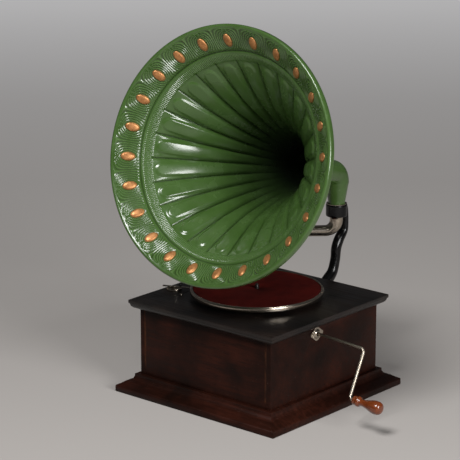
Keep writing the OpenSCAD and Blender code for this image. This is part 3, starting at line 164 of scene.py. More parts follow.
class GramophoneMetal(PropertyGroup):
    nickel: colour("Nickel", "Nickel plate", "#bdb2a3")
    nickel_dull: colour("Dull nickel", "Nickel plate where it has gone dull", "#6b5f52")
    japan: colour("Black", "Black stove enamel of the bracket", "#09090a")
    brass: colour("Brass", "Brass of the motor's wheels", "#b8914f")
    steel: colour("Steel", "Bright steel of shafts and screws", "#8f8e8c")


class GramophoneStudio(PropertyGroup):
    floor: colour("Floor", "Paper that the gramophone stands on", "#b6b1ad")
    key: amount("Key", "Power of the main soft light", 122, "POWER")
    side: amount("Side", "Power of the soft light at the right", 80, "POWER")
    room: amount("Room", "Strength of the even light from all round", 0.07)
    lens: amount("Lens", "Focal length of the camera", 170.4, "CAMERA")


def settings_of(group):
    """The settings of one group: horn, case, metal or studio."""
    return getattr(bpy.context.scene, f"gramophone_{group}")


# Modelling by hand, step by step

def drop_selection():
    if bpy.context.object and bpy.context.object.mode != "OBJECT":
        bpy.ops.object.mode_set(mode="OBJECT")
    bpy.ops.object.select_all(action="DESELECT")


def only(piece):
    drop_selection()
    piece.select_set(True)
    bpy.context.view_layer.objects.active = piece


def named(name):
    piece = bpy.context.object
    piece.name = name
    piece.data.name = name
    return piece


def turn(degrees, axis):
    return Matrix.Rotation(radians(degrees), 4, axis)


def edit(piece):
    """Opens a piece in edit mode with all of it selected."""
    only(piece)
    bpy.ops.object.mode_set(mode="EDIT")
    bpy.ops.mesh.select_all(action="SELECT")


def settle(piece, matrix=None):
    """Moves a piece by a matrix in millimetres and leaves its place in its mesh."""
    only(piece)
    if matrix is not None:
        moved = matrix.copy()
        moved.translation *= MM
        piece.matrix_world = moved @ piece.matrix_world
    bpy.ops.object.transform_apply(location=True, rotation=True, scale=True)
    return piece


def modify(piece, kind, **settings):
    """Adds a modifier, sets it and applies it."""
    only(piece)
    bpy.ops.object.modifier_add(type=kind)
    modifier = piece.modifiers[-1]
    for name, value in settings.items():
        setattr(modifier, name, value)
    bpy.ops.object.modifier_apply(modifier=modifier.name)
    return piece


def smooth(piece, angle):
    only(piece)
    bpy.ops.object.shade_smooth_by_angle(angle=radians(angle))
    return piece


def rounded(piece, edge, segments, angle):
    """Rounds the edges that are sharper than an angle and shades the rest smooth."""
    if edge:
        modify(piece, "BEVEL", width=edge * MM, segments=segments, limit_method="ANGLE",
               angle_limit=radians(angle))
    return smooth(piece, angle)


def tidy(piece):
    """Closes seams and poles and points the faces outwards."""
    edit(piece)
    bpy.ops.mesh.remove_doubles(threshold=0.004 * MM)
    bpy.ops.mesh.normals_make_consistent(inside=False)
    bpy.ops.object.mode_set(mode="OBJECT")
    return piece


def turned(name, rows, steps, capped=False):
    """Draws a circle on the first row and pulls it from row to row, radius and height, about the Z axis."""
    drop_selection()
    radius, level = rows[0]
    bpy.ops.mesh.primitive_circle_add(vertices=steps, radius=radius * MM, location=(0, 0, level * MM),
                                      fill_type="NGON" if capped else "NOTHING")
    piece = named(name)
    edit(piece)
    for r, z in rows[1:]:
        bpy.ops.mesh.extrude_edges_move(TRANSFORM_OT_translate={"value": (0, 0, (z - level) * MM)})
        if r == 0:
            bpy.ops.mesh.merge(type="CENTER")
        elif r != radius:
            share = r / radius
            bpy.ops.transform.resize(value=(share, share, 1), center_override=(0, 0, z * MM))
        radius, level = r, z
    if capped and radius:
        bpy.ops.mesh.edge_face_add()
    return settle(tidy(piece))


def ring(name, rows, steps):
    """A turned piece whose rows close on themselves, such as a rim or a sleeve."""
    return turned(name, rows + rows[:1], steps)


def arc(x, z, radius, angles):
    return [(x + radius * cos(radians(a)), z + radius * sin(radians(a))) for a in angles]


def eased(points, count):
    """A smooth line through points, with count steps between two of them."""
    line = [Vector(p) for p in points]
    line = [2 * line[0] - line[1]] + line + [2 * line[-1] - line[-2]]
    smoothed = []
    for a, b, c, d in zip(line, line[1:], line[2:], line[3:]):
        for k in range(count):
            t = k / count
            smoothed.append(0.5 * (2 * b + t * (c - a) + t * t * (2 * a - 5 * b + 4 * c - d)
                                   + t ** 3 * (3 * b - a - 3 * c + d)))
    return smoothed + [line[-2]]


def bent(corners, bends, steps):
    """A line through corners with each inner corner bent to its own radius."""
    points = [Vector(p) for p in corners]
    line = [points[0]]
    for before, corner, after, bend in zip(points, points[1:], points[2:], bends):
        come = (corner - before).normalized()
        go = (after - corner).normalized()
        angle = come.angle(go)
        back = bend * tan(angle / 2)
        middle = corner + (go - come).normalized() * (bend / cos(angle / 2))
        start = corner - come * back
        axis = come.cross(go).normalized()
        for k in range(steps + 1):
            line.append(middle + Matrix.Rotation(angle * k / steps, 3, axis) @ (start - middle))
    return line + [points[-1]]


def drawn(name, line, radii, turns, capped=True):
    """A curve laid along a line, given its round section and made a mesh."""
    drop_selection()
    bpy.ops.curve.primitive_nurbs_path_add(location=(0, 0, 0))
    piece = named(name)
    shape = piece.data
    shape.splines.clear()
    spline = shape.splines.new("POLY")
    spline.points.add(len(line) - 1)
    for point, place, radius in zip(spline.points, line, radii):
        point.co = (*(Vector(place) * MM), 1)
        point.radius = radius
    shape.bevel_depth = MM
    shape.bevel_resolution = turns
    shape.use_fill_caps = capped
    bpy.ops.object.convert(target="MESH")
    return settle(tidy(piece))


def worked(name, body, slot, node, edge, segments=2, angle=35, look=None):
    """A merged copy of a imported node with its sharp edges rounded, dressed to stand for that node."""
    drop_selection()
    source = frame["nodes"][node]
    source.select_set(True)
    bpy.context.view_layer.objects.active = source
    bpy.ops.object.duplicate()
    piece = named(name)
    piece.parent = None
    piece.matrix_world = Matrix.Identity(4)
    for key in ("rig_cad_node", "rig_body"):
        del piece[key]
    edit(piece)
    bpy.ops.mesh.remove_doubles(threshold=0.002 * MM)
    bpy.ops.mesh.dissolve_limited(angle_limit=radians(1))
    bpy.ops.object.mode_set(mode="OBJECT")
    return dress(rounded(piece, edge, segments, angle), body, slot, node, look=look)


def cut_out(piece, tool):
    """Cuts a tool's shape out of a piece and removes the tool."""
    modify(piece, "BOOLEAN", operation="DIFFERENCE", object=tool, solver="EXACT")
    bpy.data.objects.remove(tool)


def joined(pieces):
    only(pieces[0])
    for piece in pieces:
        piece.select_set(True)
    bpy.ops.object.join()
    return bpy.context.object


def copied(piece, name, matrix):
    only(piece)
    bpy.ops.object.duplicate()
    return settle(named(name), matrix)


def dress(piece, body, slot, *nodes, look=None):
    """Gives a piece its material, its body and the nodes that it stands for."""
    piece.data.materials.clear()
    piece.data.materials.append(finish_of(look or slot))
    if nodes:
        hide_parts(*nodes)
    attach(piece, body)
    return piece


# Materials

def add_node(material, kind, inputs=None, **settings):
    """Adds a shader node to a material, with its settings and with values or sources for its inputs."""
    made = material.node_tree.nodes.new("ShaderNode" + kind)
    for name, value in settings.items():
        setattr(made, name, value)
    for name, value in (inputs or {}).items():
        if isinstance(value, bpy.types.NodeSocket):
            material.node_tree.links.new(value, made.inputs[name])
        else:
            made.inputs[name].default_value = value
    return made


def begin(name):
    """A material that holds nothing yet but the object's coordinates."""
    material = bpy.data.materials.new(name)
    material.use_nodes = True
    material.node_tree.nodes.clear()
    add_node(material, "TexCoord")
    return material


def place_on(material):
    """The object's coordinates, in metres."""
    return material.node_tree.nodes[0].outputs["Object"]


def speckle(material, size, detail=4, rough=0.55, stretch=(1, 1, 1), low=0.35, high=0.65):
    """A noise of a pattern size in millimetres, spread over 0 to 1."""
    laid = add_node(material, "Mapping", {
        "Vector": place_on(material), "Scale": [s / (size * MM) for s in stretch]})
    noise = add_node(material, "TexNoise", {
        "Vector": laid.outputs[0], "Scale": 1.0, "Detail": detail, "Roughness": rough})
    return add_node(material, "MapRange", {
        "Value": noise.outputs[0], "From Min": low, "From Max": high}).outputs[0]


def tint(material, under, over, pattern, strength=1.0):
    """A colour laid over another, as thick as a pattern times a strength or a second pattern."""
    share = add_node(material, "Math", {0: pattern, 1: strength}, operation="MULTIPLY", use_clamp=True)
    return add_node(material, "Mix", {0: share.outputs[0], 6: under, 7: over}, data_type="RGBA").outputs[2]


def skin(material, shade, rough, relief, inputs=None):
    """Finishes a material. Relief is a pattern, its strength and its height in millimetres.

    Rough is a number, or a pattern with the roughness where it is 0 and where it is 1.
    """
    if isinstance(rough, tuple):
        marks, low, high = rough
        rough = add_node(material, "MapRange", {"Value": marks, "To Min": low, "To Max": high}).outputs[0]
    pattern, strength, height = relief
    bump = add_node(material, "Bump", {"Height": pattern, "Strength": strength, "Distance": height * MM})
    body = add_node(material, "BsdfPrincipled", {
        "Base Color": shade, "Roughness": rough, "Normal": bump.outputs[0], **(inputs or {})})
    add_node(material, "OutputMaterial", {"Surface": body.outputs[0]})
    return material


def rubbed_joints(wood):
    """Two patterns that meet along the case's upright joints, where hands have rubbed the stain off."""
    split = add_node(wood, "SeparateXYZ", {0: place_on(wood)})
    # How far a point is from the joint at either side of the case
    off = split.outputs["X"]
    for operation in ("ABSOLUTE", "SUBTRACT", "ABSOLUTE"):
        off = add_node(wood, "Math", {0: off, 1: (HALF_W - WALL) * MM}, operation=operation).outputs[0]
    near = add_node(wood, "MapRange", {
        "Value": off, "From Min": 0.2 * MM, "From Max": 3.2 * MM, "To Min": 1.0, "To Max": 0.0})
    over_plinth = add_node(wood, "MapRange", {
        "Value": split.outputs["Z"], "From Min": 46 * MM, "From Max": 52 * MM, "To Max": 0.3})
    patch = speckle(wood, 9, 4, 0.7, (1, 1, 0.25), 0.38, 0.62)
    patchy = add_node(wood, "Math", {0: patch, 1: over_plinth.outputs[0]}, operation="MULTIPLY")
    return near.outputs[0], patchy.outputs[0]


def stained_mahogany(name, dark, red, rough, worn):
    """Mahogany under dark stain and rubbed shellac: faint grain, red where stain is thin, a low sheen."""
    wood = begin(name)
    streak = speckle(wood, 6, 5, 0.6, (0.06, 1, 1))
    thin = add_node(wood, "MapRange", {"Value": streak, "To Min": 0.3, "To Max": 0.9})
    shade = tint(wood, dark, red, speckle(wood, 70, 3, 0.5), thin.outputs[0])
    pore = speckle(wood, 1.6, 3, 0.6, (0.08, 1, 1), 0.52, 0.7)
    shade = tint(wood, shade, linear("#0c0706"), pore, 0.5)
    if worn:
        shade = tint(wood, shade, settings_of("case").wear, *rubbed_joints(wood))
    dust = speckle(wood, 2.2, 1, 0.5, low=0.76, high=0.8)
    shade = tint(wood, shade, linear("#6b625a"), dust, 0.35)
    return skin(wood, shade, (streak, rough - 0.05, rough + 0.1), (streak, 0.25, 0.12), {
        "IOR": 1.5, "Specular IOR Level": 0.1 if worn else 0.35})


def raw_pine():
    """Planed pine that was never finished, inside the case: pale, dry, with soft growth lines."""
    pine = begin("raw_pine")
    line = speckle(pine, 5, 4, 0.5, (0.05, 1, 1))
    shade = tint(pine, linear("#6e5238"), linear("#8f7150"), line)
    return skin(pine, shade, 0.85, (line, 0.3, 0.15))


def old_nickel(name="old_nickel_plate", rough=0.24):
    """Nickel plate on steel after long use: bright, a little yellow, with dull patches and fine scratches."""
    plate = begin(name)
    speck = speckle(plate, 1.6, 3, 0.6, low=0.68, high=0.78)
    spots = add_node(plate, "Math", {0: speck, 1: 0.4}, operation="MULTIPLY").outputs[0]
    cloud = speckle(plate, 26, 4, 0.5)
    dull = add_node(plate, "Math", {0: cloud, 1: 0.3, 2: spots}, operation="MULTIPLY_ADD").outputs[0]
    shade = tint(plate, settings_of("metal").nickel, settings_of("metal").nickel_dull, dull)
    return skin(plate, shade, (dull, rough - 0.06, rough + 0.16), (speck, 0.06, 0.03), {"Metallic": 1.0})


def plain_metal(name, shade, rough):
    """Machined metal of the motor: an even colour with oil marks that change its gloss."""
    metal = begin(name)
    oil = speckle(metal, 8, 4, 0.6)
    line = speckle(metal, 0.8, 2, 0.5, (0.1, 0.1, 1))
    oiled = tint(metal, shade, [c * 0.55 for c in shade[:3]] + [1], oil, 0.4)
    return skin(metal, oiled, (oil, rough, rough + 0.12), (line, 0.08, 0.04), {"Metallic": 1.0})


def green_enamel():
    """Oil enamel on pressed steel: satin green, painted shade in creases and throat, crests paler by wear and
    painted highlight.
    """
    settings = settings_of("horn")
    enamel = begin("green_enamel")
    relief, throat = (add_node(enamel, "Attribute", attribute_name=mark).outputs["Fac"]
                      for mark in ("relief", "throat"))
    cloud = speckle(enamel, 45, 4, 0.6)
    grain = speckle(enamel, 1.5, 3, 0.6)
    # Painted shade in the creases, the groove and the rib valleys, where the tone is below 0
    deep = add_node(enamel, "MapRange", {
        "Value": relief, "From Min": -1.0, "From Max": -0.15, "To Min": 0.6, "To Max": 0.0})
    # Paler crests: partly rubbed enamel, partly a painted highlight on the ribs, strokes and bead
    crest = add_node(enamel, "MapRange", {"Value": relief, "From Min": 0.2, "From Max": 0.9, "To Max": 0.4})
    rubbed = add_node(enamel, "Math", {0: grain, 1: 0.35}, operation="ADD", use_clamp=True)
    shade = tint(enamel, settings.enamel, settings.enamel_wear_and_highlight, cloud, 0.22)
    shade = tint(enamel, shade, settings.enamel_crease_shade, deep.outputs[0])
    shade = tint(enamel, shade, settings.enamel_wear_and_highlight, crest.outputs[0], rubbed.outputs[0])
    # Painted shade: near black deep in the throat, by radius
    shade = tint(enamel, shade, settings.painted_throat_shade, throat)
    return skin(enamel, shade, (cloud, 0.2, 0.3), (grain, 0.1, 0.04), {
        "IOR": 1.5, "Coat Weight": 0.3, "Coat Roughness": 0.12})


def bronze_paint():
    """Bronze powder in varnish, brushed on the bosses: a warm metallic flake, browned in patches."""
    settings = settings_of("horn")
    paint = begin("bronze_paint")
    flake = speckle(paint, 1.1, 3, 0.7)
    shade = tint(paint, settings.bronze, settings.bronze_dark, speckle(paint, 7, 4, 0.6), 0.8)
    return skin(paint, shade, (flake, 0.34, 0.5), (flake, 0.2, 0.08), {"Metallic": 0.55})


def wool_felt():
    """Pressed wool felt: matt, fuzzy at a glancing view, with soiled patches and a short tangled nap."""
    settings = settings_of("case")
    felt = begin("wool_felt")
    fibre = speckle(felt, 1.2, 5, 0.7)
    shade = tint(felt, settings.felt, settings.felt_dark, speckle(felt, 45, 4, 0.6), 0.7)
    shade = tint(felt, shade, linear("#5c1b17"), fibre, 0.25)
    return skin(felt, shade, 0.95, (fibre, 0.6, 0.25), {
        "Specular IOR Level": 0.06, "Sheen Weight": 0.06, "Sheen Roughness": 0.5,
        "Sheen Tint": linear("#8a3a34")})


def stove_enamel():
    """Black stove enamel on cast iron: deep gloss over a slightly uneven casting, with a few small chips."""
    iron = begin("black_stove_enamel")
    uneven = speckle(iron, 9, 3, 0.5)
    chip = speckle(iron, 3, 4, 0.7, low=0.68, high=0.72)
    shade = tint(iron, settings_of("metal").japan, linear("#3a2a20"), chip, 0.5)
    return skin(iron, shade, (uneven, 0.16, 0.28), (uneven, 0.2, 0.2), {
        "IOR": 1.52, "Specular IOR Level": 0.25, "Coat Weight": 0.06, "Coat Roughness": 0.06})


def varnished_beech():
    """Turned beech under tinted varnish: orange brown, glossy, with short flecks along the handle."""
    settings = settings_of("case")
    beech = begin("varnished_beech")
    fleck = speckle(beech, 1.8, 4, 0.6, (0.12, 1, 1), 0.45, 0.7)
    shade = tint(beech, settings.handle, linear("#6f3417"), speckle(beech, 16, 3, 0.5), 0.6)
    shade = tint(beech, shade, settings.handle_dark, fleck, 0.7)
    return skin(beech, shade, 0.24, (fleck, 0.1, 0.06), {
        "IOR": 1.5, "Coat Weight": 0.6, "Coat Roughness": 0.08})


def soft_stuff(name, light, dark, size, rough, bump):
    """Leather, fibre, rubber, black wood or browned steel of a small piece: matt, with its own grain."""
    stuff = begin(name)
    grain = speckle(stuff, size, 4, 0.6)
    return skin(stuff, tint(stuff, linear(light), linear(dark), grain), rough, (grain, 0.5, bump))


def split_mica():
    """A split sheet of mica: clear amber leaf with cloudy layers and a hard gloss."""
    mica = begin("split_mica")
    layer = speckle(mica, 11, 4, 0.7, (1, 0.4, 1))
    shade = tint(mica, linear("#b9a878"), linear("#8e7c50"), layer)
    return skin(mica, shade, 0.12, (layer, 0.1, 0.05), {
        "IOR": 1.56, "Coat Weight": 0.5, "Coat Roughness": 0.05})


def paper_sweep():
    """Matt studio paper: an even pale grey, which the camera sees lit further back, past the lamps' reach."""
    paper = begin("studio_paper")
    shade = tint(paper, settings_of("studio").floor, linear("#b5b1ad"), speckle(paper, 300, 3, 0.5), 0.1)
    body = add_node(paper, "BsdfPrincipled", {
        "Base Color": shade, "Roughness": 0.9, "Specular IOR Level": 0.1})
    away = add_node(paper, "VectorMath", {0: place_on(paper), 1: FROM_CAMERA}, operation="DOT_PRODUCT")
    share = add_node(paper, "MapRange", {"Value": away.outputs["Value"], "From Max": PAPER_END})
    ramp = add_node(paper, "ValToRGB", {0: share.outputs[0]})
    stops = ramp.color_ramp.elements
    for at, _ in PAPER_GLOW[1:-1]:
        stops.new(at)
    for stop, (_, glow) in zip(stops, PAPER_GLOW):
        stop.color = (glow, glow, glow * 1.02, 1)
    seen = add_node(paper, "LightPath").outputs["Is Camera Ray"]
    lit = add_node(paper, "Emission", {"Color": ramp.outputs[0], "Strength": seen})
    both = add_node(paper, "AddShader", {0: body.outputs[0], 1: lit.outputs[0]})
    add_node(paper, "OutputMaterial", {"Surface": both.outputs[0]})
    return paper


FINISHES = {
    "wood_case": lambda: stained_mahogany(
        "stained_mahogany", settings_of("case").wood, settings_of("case").wood_red, 0.42, True),
    "wood_top": lambda: stained_mahogany(
        "black_stained_mahogany", settings_of("case").board, linear("#2c211c"), 0.36, False),
    "wood_inside": raw_pine,
    "steel": lambda: plain_metal("turned_steel", settings_of("metal").steel, 0.3),
    "plate_steel": lambda: plain_metal("rolled_steel_plate", linear("#85827e"), 0.38),
    "spring_steel": lambda: plain_metal("blued_spring_steel", linear("#4a5160"), 0.28),
    "brass": lambda: plain_metal("cut_brass", settings_of("metal").brass, 0.26),
    "nickel": old_nickel,
    "rod_nickel": lambda: old_nickel("rubbed_nickel_rod", 0.38),
    "browned_steel": lambda: soft_stuff("browned_steel", "#2b2522", "#171310", 2.0, 0.4, 0.04),
    "felt": wool_felt,
    "fibre": lambda: soft_stuff("vulcanised_fibre", "#7a3d28", "#5c2c1e", 0.6, 0.6, 0.05),
    "leather": lambda: soft_stuff("oiled_leather", "#6b4a2c", "#4a321d", 1.2, 0.7, 0.15),
    "handle_wood": varnished_beech,
    "black_iron": stove_enamel,
    "knob_black": lambda: soft_stuff("ebonised_knob", "#1b1917", "#100f0e", 2.0, 0.3, 0.03),
    "horn_green": green_enamel,
    "boss_copper": bronze_paint,
    "mica": split_mica,
    "rubber": lambda: soft_stuff("gasket_rubber", "#2b2624", "#1d1a18", 0.8, 0.75, 0.05),
}


@cache
def finish_of(slot):
    """The material of a slot, made once."""
    return FINISHES[slot]()


# Horn

def horn_axes():
    """The horn's place: its axis along +Z, and a boss and a crease at its angle 0."""
    place = ELBOW_AT + HORN_DIR * HORN_REACH
    return (Matrix.Translation(place) @ turn(HORN_TURN, "Z") @ turn(90 - HORN_TILT, "X")
            @ turn(180 / FLUTES, "Z"))


# Radii and heights of the horn's line, then its rolled lip and its bosses
NECK_R = 24
NECK_ROWS = [(NECK_R, -340), (NECK_R, -329)]
FLARE_FROM = -318
FLARE_TO = -27
FLUTE_END = 177
FINGER_END = 172.5
GROOVE_ROWS = [(182.5, -22.6), (188.5, -18.2), (191.2, -16.9), (192.5, -16.2), (193.8, -14.8), (197, -11.3)]
BEAD_R = 190.6
GROOVE_R = 193
RIM_R = 238
LIP_ROLL = 4
LIP_BACK = 7
LIP_R = RIM_R - LIP_ROLL
BAND_END = LIP_R - LIP_ROLL * sin(radians(BAND_SLOPE))
BOSS_LONG = 14
BOSS_WIDE = 8.2
BOSS_HIGH = 3.6
# Radii where the flutes grow out of the throat, and where strokes and ribs start, are full, fade and end
GROWING = (30, 80)
STROKES = (174.5, 176.5, 187.2, 188.8)
RIBS = (195.5, 197.5, 229.6, 231.4)


def flare(u):
    """Radius and height on the flaring part of the horn, from its neck at 0 to its flutes' end at 1."""
    widening = 0.7 * u ** 1.2 + 0.3 * u ** 4.45
    return NECK_R + (FLUTE_END - NECK_R) * widening, FLARE_FROM + (FLARE_TO - FLARE_FROM) * u


def band_z(r):
    """Height of the band that carries the bosses."""
    return (r - BOSS_R) * tan(radians(BAND_SLOPE))


HORN_LINE = (NECK_ROWS + [flare(sin(pi / 2 * k / 80)) for k in range(81)] + GROOVE_ROWS
             + [(r, band_z(r)) for r in range(198, LIP_R + 1)])
# A hair is added row by row, so that the radii always grow
LINE_R = np.array([p[0] + 1e-6 * k for k, p in enumerate(HORN_LINE)])
LINE_Z = np.array([p[1] for p in HORN_LINE])


def horn_rows(first, last, count):
    """Evenly spaced rows of the horn's line between two radii, radius and height."""
    radii = np.linspace(first, last, count)
    return [(float(r), float(z)) for r, z in zip(radii, np.interp(radii, LINE_R, LINE_Z))]


def fade(value, low, high):
    """0 up to low, 1 from high, and a smooth rise between them."""
    t = np.clip((value - low) / (high - low), 0, 1)
    return t * t * (3 - 2 * t)


def between(r, start, full, fading, end):
    """1 from full to fading, 0 outside start and end, and smooth in between."""
    return fade(r, start, full) * (1 - fade(r, fading, end))


def horn_relief(r, angle):
    """Height of the pressed pattern over the plain line, towards the inside of the horn, and its tone of
    painted shade and highlight.
    """
    settings = settings_of("horn")
    half = pi / FLUTES
    off = np.abs((angle + half) % (2 * half) - half)
    along = r * off
    # Flutes: each is a raised round-ended finger on plain sheet, with a sharp crease between two of them
    finger = settings.finger / MM
    wide = np.clip(r * half - 0.8, 0.5, finger)
    across = r * (half - off)
    inside = wide - np.hypot(across, np.clip(r - FINGER_END + finger, 0, None))
    size = fade(r, *GROWING) * wide / finger
    low = (settings.step / MM * (1 - fade(inside, -0.5, 5.0))
           + settings.swell / MM * (across / (r * half)) ** 2.2 * (1 - fade(r, 148, 178)))
    plain = 1 - fade(r, 173, 188)
    crease = settings.crease / MM * np.exp(-along / 1.5) * between(r, *GROWING, STROKES[0], 178)
    # Short fine strokes between the fingers and the groove
    ticks = between(r, *STROKES)
    tick = settings.tick / MM * (0.5 + 0.5 * np.cos(angle * FLUTES * 14)) ** 1.3 * ticks
    bead = 0.9 * np.exp(-((r - BEAD_R) / 0.9) ** 2)
    groove = 1.5 * np.exp(-((r - GROOVE_R) / 0.8) ** 2)
    # Ribs that run outwards and part round each boss like the lids of an eye
    side = BOSS_R * off
    up = (r - BOSS_R) / cos(radians(BAND_SLOPE))
    line = side + up ** 2 / 29 * (1 - side / (BOSS_R * half))
    ribs = between(r, *RIBS)
    seat = fade(np.hypot(side / BOSS_WIDE, up / BOSS_LONG), 1.02, 1.2)
    rib = (0.5 + 0.5 * np.cos(2 * pi * line / (settings.rib_pitch / MM))) ** 1.2 * ribs * seat
    height = tick + bead - low * size * plain - crease - groove + rib * settings.rib / MM
    # The tone is painted light: below 0 it is painted shade in the creases, groove and valleys; above 0 it
    # lightens bead, ribs and strokes
    tone = np.clip(ribs * seat * (rib * 2.0 - 0.9) + ticks * (tick * 1.6 - 0.4) + bead * 0.6 - groove
                   - crease * 0.7, -1, 1)
    return height, tone


def press(piece, warp):
    """Presses the horn's pattern into a turned shell.

    No hand tool gives this pattern, so points are moved. A warp over 1 brings them together at the creases.
    """
    mesh = piece.data
    co = np.empty(len(mesh.vertices) * 3)
    mesh.vertices.foreach_get("co", co)
    co = co.reshape(-1, 3) / MM
    r = np.hypot(co[:, 0], co[:, 1])
    angle = np.arctan2(co[:, 1], co[:, 0])
    if warp:
        half = pi / FLUTES
        off = (angle + half) % (2 * half) - half
        angle = angle - off + np.sign(off) * half * (np.abs(off) / half) ** warp
    height, tone = horn_relief(r, angle)
    ahead = np.interp(r + 0.6, LINE_R, LINE_Z) - np.interp(r - 0.6, LINE_R, LINE_Z)
    slope = np.arctan2(ahead, 1.2)
    slope[r < NECK_R + 0.5] = pi / 2
    r2 = r - np.sin(slope) * height
    co[:, 2] += np.cos(slope) * height
    co[:, 0] = r2 * np.cos(angle)
    co[:, 1] = r2 * np.sin(angle)
    mesh.vertices.foreach_set("co", (co * MM).ravel())
    # relief carries the pattern's painted shade and highlight; throat is painted shade that blackens the horn
    # towards its neck
    for mark, values in (("relief", tone), ("throat", 1 - fade(r, 30, 112))):
        mesh.attributes.new(mark, "FLOAT", "POINT").data.foreach_set("value", values.astype(np.float32))
    mesh.update()


def horn_shell(name, rows, steps, warp=0):
    """One turned, pressed and thickened length of the horn."""
    piece = turned(name, rows, steps)
    press(piece, warp)
    # The wall grows backwards, away from the pattern
    face = piece.data.polygons[0]
    outward = face.normal.x * face.center.x + face.normal.y * face.center.y > 0
    modify(piece, "SOLIDIFY", thickness=settings_of("horn").wall, offset=1 if outward else -1)
    return settle(smooth(piece, 60), horn_axes())


class GRAMOPHONE_OT_horn(Operator):
    """Builds the pressed horn from its neck to its rolled lip"""
    bl_idname = "gramophone.horn"
    bl_label = "Horn"

    def execute(self, context):
        rows = (NECK_ROWS + [flare(u) for u in (0.0, 0.04, 0.08, 0.12, 0.16)]
                + horn_rows(42, 100, 11) + horn_rows(105, 164, 22))
        flutes = horn_shell("horn_flare", rows, FLUTES * 40, 1.25)
        dress(flutes, "horn", "horn_green", "horn_neck", "horn_bell")
        for name, first, last, count in (("horn_strip", 164, 190, 23), ("horn_band_inner", 190, BOSS_R, 19),
                                         ("horn_band_outer", BOSS_R, BAND_END, 20)):
            band = horn_shell(name, horn_rows(first, last, count), FLUTES * 84)
            dress(band, "horn", "horn_green", "horn_rim")
        # The lip carries the band's line on into a roll towards the back
        angles = np.linspace(90 + BAND_SLOPE, -129, 24).tolist()
        middle = band_z(LIP_R) - LIP_ROLL / cos(radians(BAND_SLOPE))
        rows = [(r, z - LIP_BACK if a < 0 else z)
                for a, (r, z) in zip(angles, arc(LIP_R, middle, LIP_ROLL, angles))]
        lip = settle(smooth(ring("horn_lip", rows, 480), 50), horn_axes())
        dress(lip, "horn", "horn_green", "horn_rim")
        return {"FINISHED"}


class GRAMOPHONE_OT_bosses(Operator):
    """Builds the bronzed oval bosses on the horn's band"""
    bl_idname = "gramophone.bosses"
    bl_label = "Bosses"

    def execute(self, context):
        # Share of the size and of the height, from the foot to the crown
        shares = [(1.0, 0.0), (0.985, 0.16), (0.95, 0.36), (0.88, 0.58), (0.76, 0.77), (0.6, 0.9),
                  (0.4, 0.97), (0.2, 0.995), (0, 1.0)]
        first = turned("horn_boss", [(BOSS_LONG * r, BOSS_HIGH * z) for r, z in shares], 44, capped=True)
        # Drawn in to an oval, then laid on the band, tipped a little past its slope
        only(first)
        bpy.ops.transform.resize(value=(1, BOSS_WIDE / BOSS_LONG, 1), center_override=(0, 0, 0))
        settle(first)
        settle(smooth(first, 60), Matrix.Translation((BOSS_R, 0, 0)) @ turn(-(BAND_SLOPE + 2), "Y")
               @ Matrix.Translation((0, 0, 0.1)))
        for k in range(FLUTES):
            boss = copied(first, f"horn_boss_{k + 1:02d}", horn_axes() @ turn(360 * k / FLUTES, "Z"))
            dress(boss, "horn", "boss_copper", "horn_bosses")
        bpy.data.objects.remove(first)
        return {"FINISHED"}


class GRAMOPHONE_OT_elbow(Operator):
    """Builds the bent tube between the collar and the horn's neck"""
    bl_idname = "gramophone.elbow"
    bl_label = "Elbow"

    def execute(self, context):
        upright = [COLLAR_AT + Vector((0, 0, z)) for z in range(310, 359, 4)]
        bend = bent([upright[-1], ELBOW_AT, ELBOW_AT + HORN_DIR * 81], [26], 20)[1:]
        # The upright part widens from the collar's bore
        radii = [16.6 + 7.0 * min(1, max(0, (p.z - 321) / 41)) for p in upright] + [23.6] * len(bend)
        tube = drawn("horn_elbow_tube", upright + bend, radii, 22, capped=False)
        modify(tube, "SOLIDIFY", thickness=settings_of("horn").wall, offset=-1)
        dress(smooth(tube, 40), "horn", "horn_green", "horn_elbow")
        return {"FINISHED"}


# Case

class GRAMOPHONE_OT_case(Operator):
    """Builds the four panels and the stained top board"""
    bl_idname = "gramophone.case"
    bl_label = "Case"

    def execute(self, context):
        edge = settings_of("case").edge / MM
        for side in ("front", "back", "left", "right"):
            worked(f"case_{side}", "case", "wood_case", f"{side}_panel", edge * 0.6, 3)
        worked("case_board", "case", "wood_top", "top_board", edge * 1.2, 3, 40)
        return {"FINISHED"}


def moulding(name, section, half, side_turn):
    """One length of plinth: its section drawn from point to point, pulled along the wall and mitred."""
    drop_selection()
    # The length starts and ends past both mitres
    reach = half[0] + 60
    places = [Vector((-reach, -(half[1] + out), z)) * MM for out, z in section]
    bpy.ops.mesh.primitive_plane_add(size=MM, location=places[0])
    piece = named(name)
    edit(piece)
    bpy.ops.mesh.merge(type="CENTER")
    for a, b in zip(places, places[1:]):
        bpy.ops.mesh.extrude_vertices_move(TRANSFORM_OT_translate={"value": b - a})
    bpy.ops.mesh.select_all(action="SELECT")
    bpy.ops.mesh.edge_face_add()
    bpy.ops.mesh.extrude_region_move(TRANSFORM_OT_translate={"value": (2 * reach * MM, 0, 0)})
    for way in (-1, 1):
        bpy.ops.mesh.select_all(action="SELECT")
        bpy.ops.mesh.bisect(plane_co=(way * half[0] * MM, -half[1] * MM, 0), plane_no=(way, 1, 0),
                            use_fill=True, clear_outer=True)
    settle(tidy(piece), turn(side_turn, "Z"))
    return rounded(piece, 0.5, 2, 40)


class GRAMOPHONE_OT_plinth(Operator):
    """Builds the mitred plinth moulding"""
    bl_idname = "gramophone.plinth"
    bl_label = "Plinth"

    def execute(self, context):
        # How far a point stands out from the wall, and its height: a rounded foot, then a cove
        section = ([(0, 0), (34, 0), (35, 1.5)] + arc(31, 10, 4, range(0, 91, 15))
                   + arc(20.5, 33, 12, range(270, 179, -9)) + [(8.5, 34.4), (7.9, 35), (0, 35)])
        for side, side_turn in (("front", 0), ("right", 90), ("back", 180), ("left", 270)):
            half = (HALF_W, HALF_D) if side_turn % 180 == 0 else (HALF_D, HALF_W)
            piece = moulding(f"plinth_{side}", section, half, side_turn)
            dress(piece, "case", "wood_case", "plinth_mouldings")
        return {"FINISHED"}


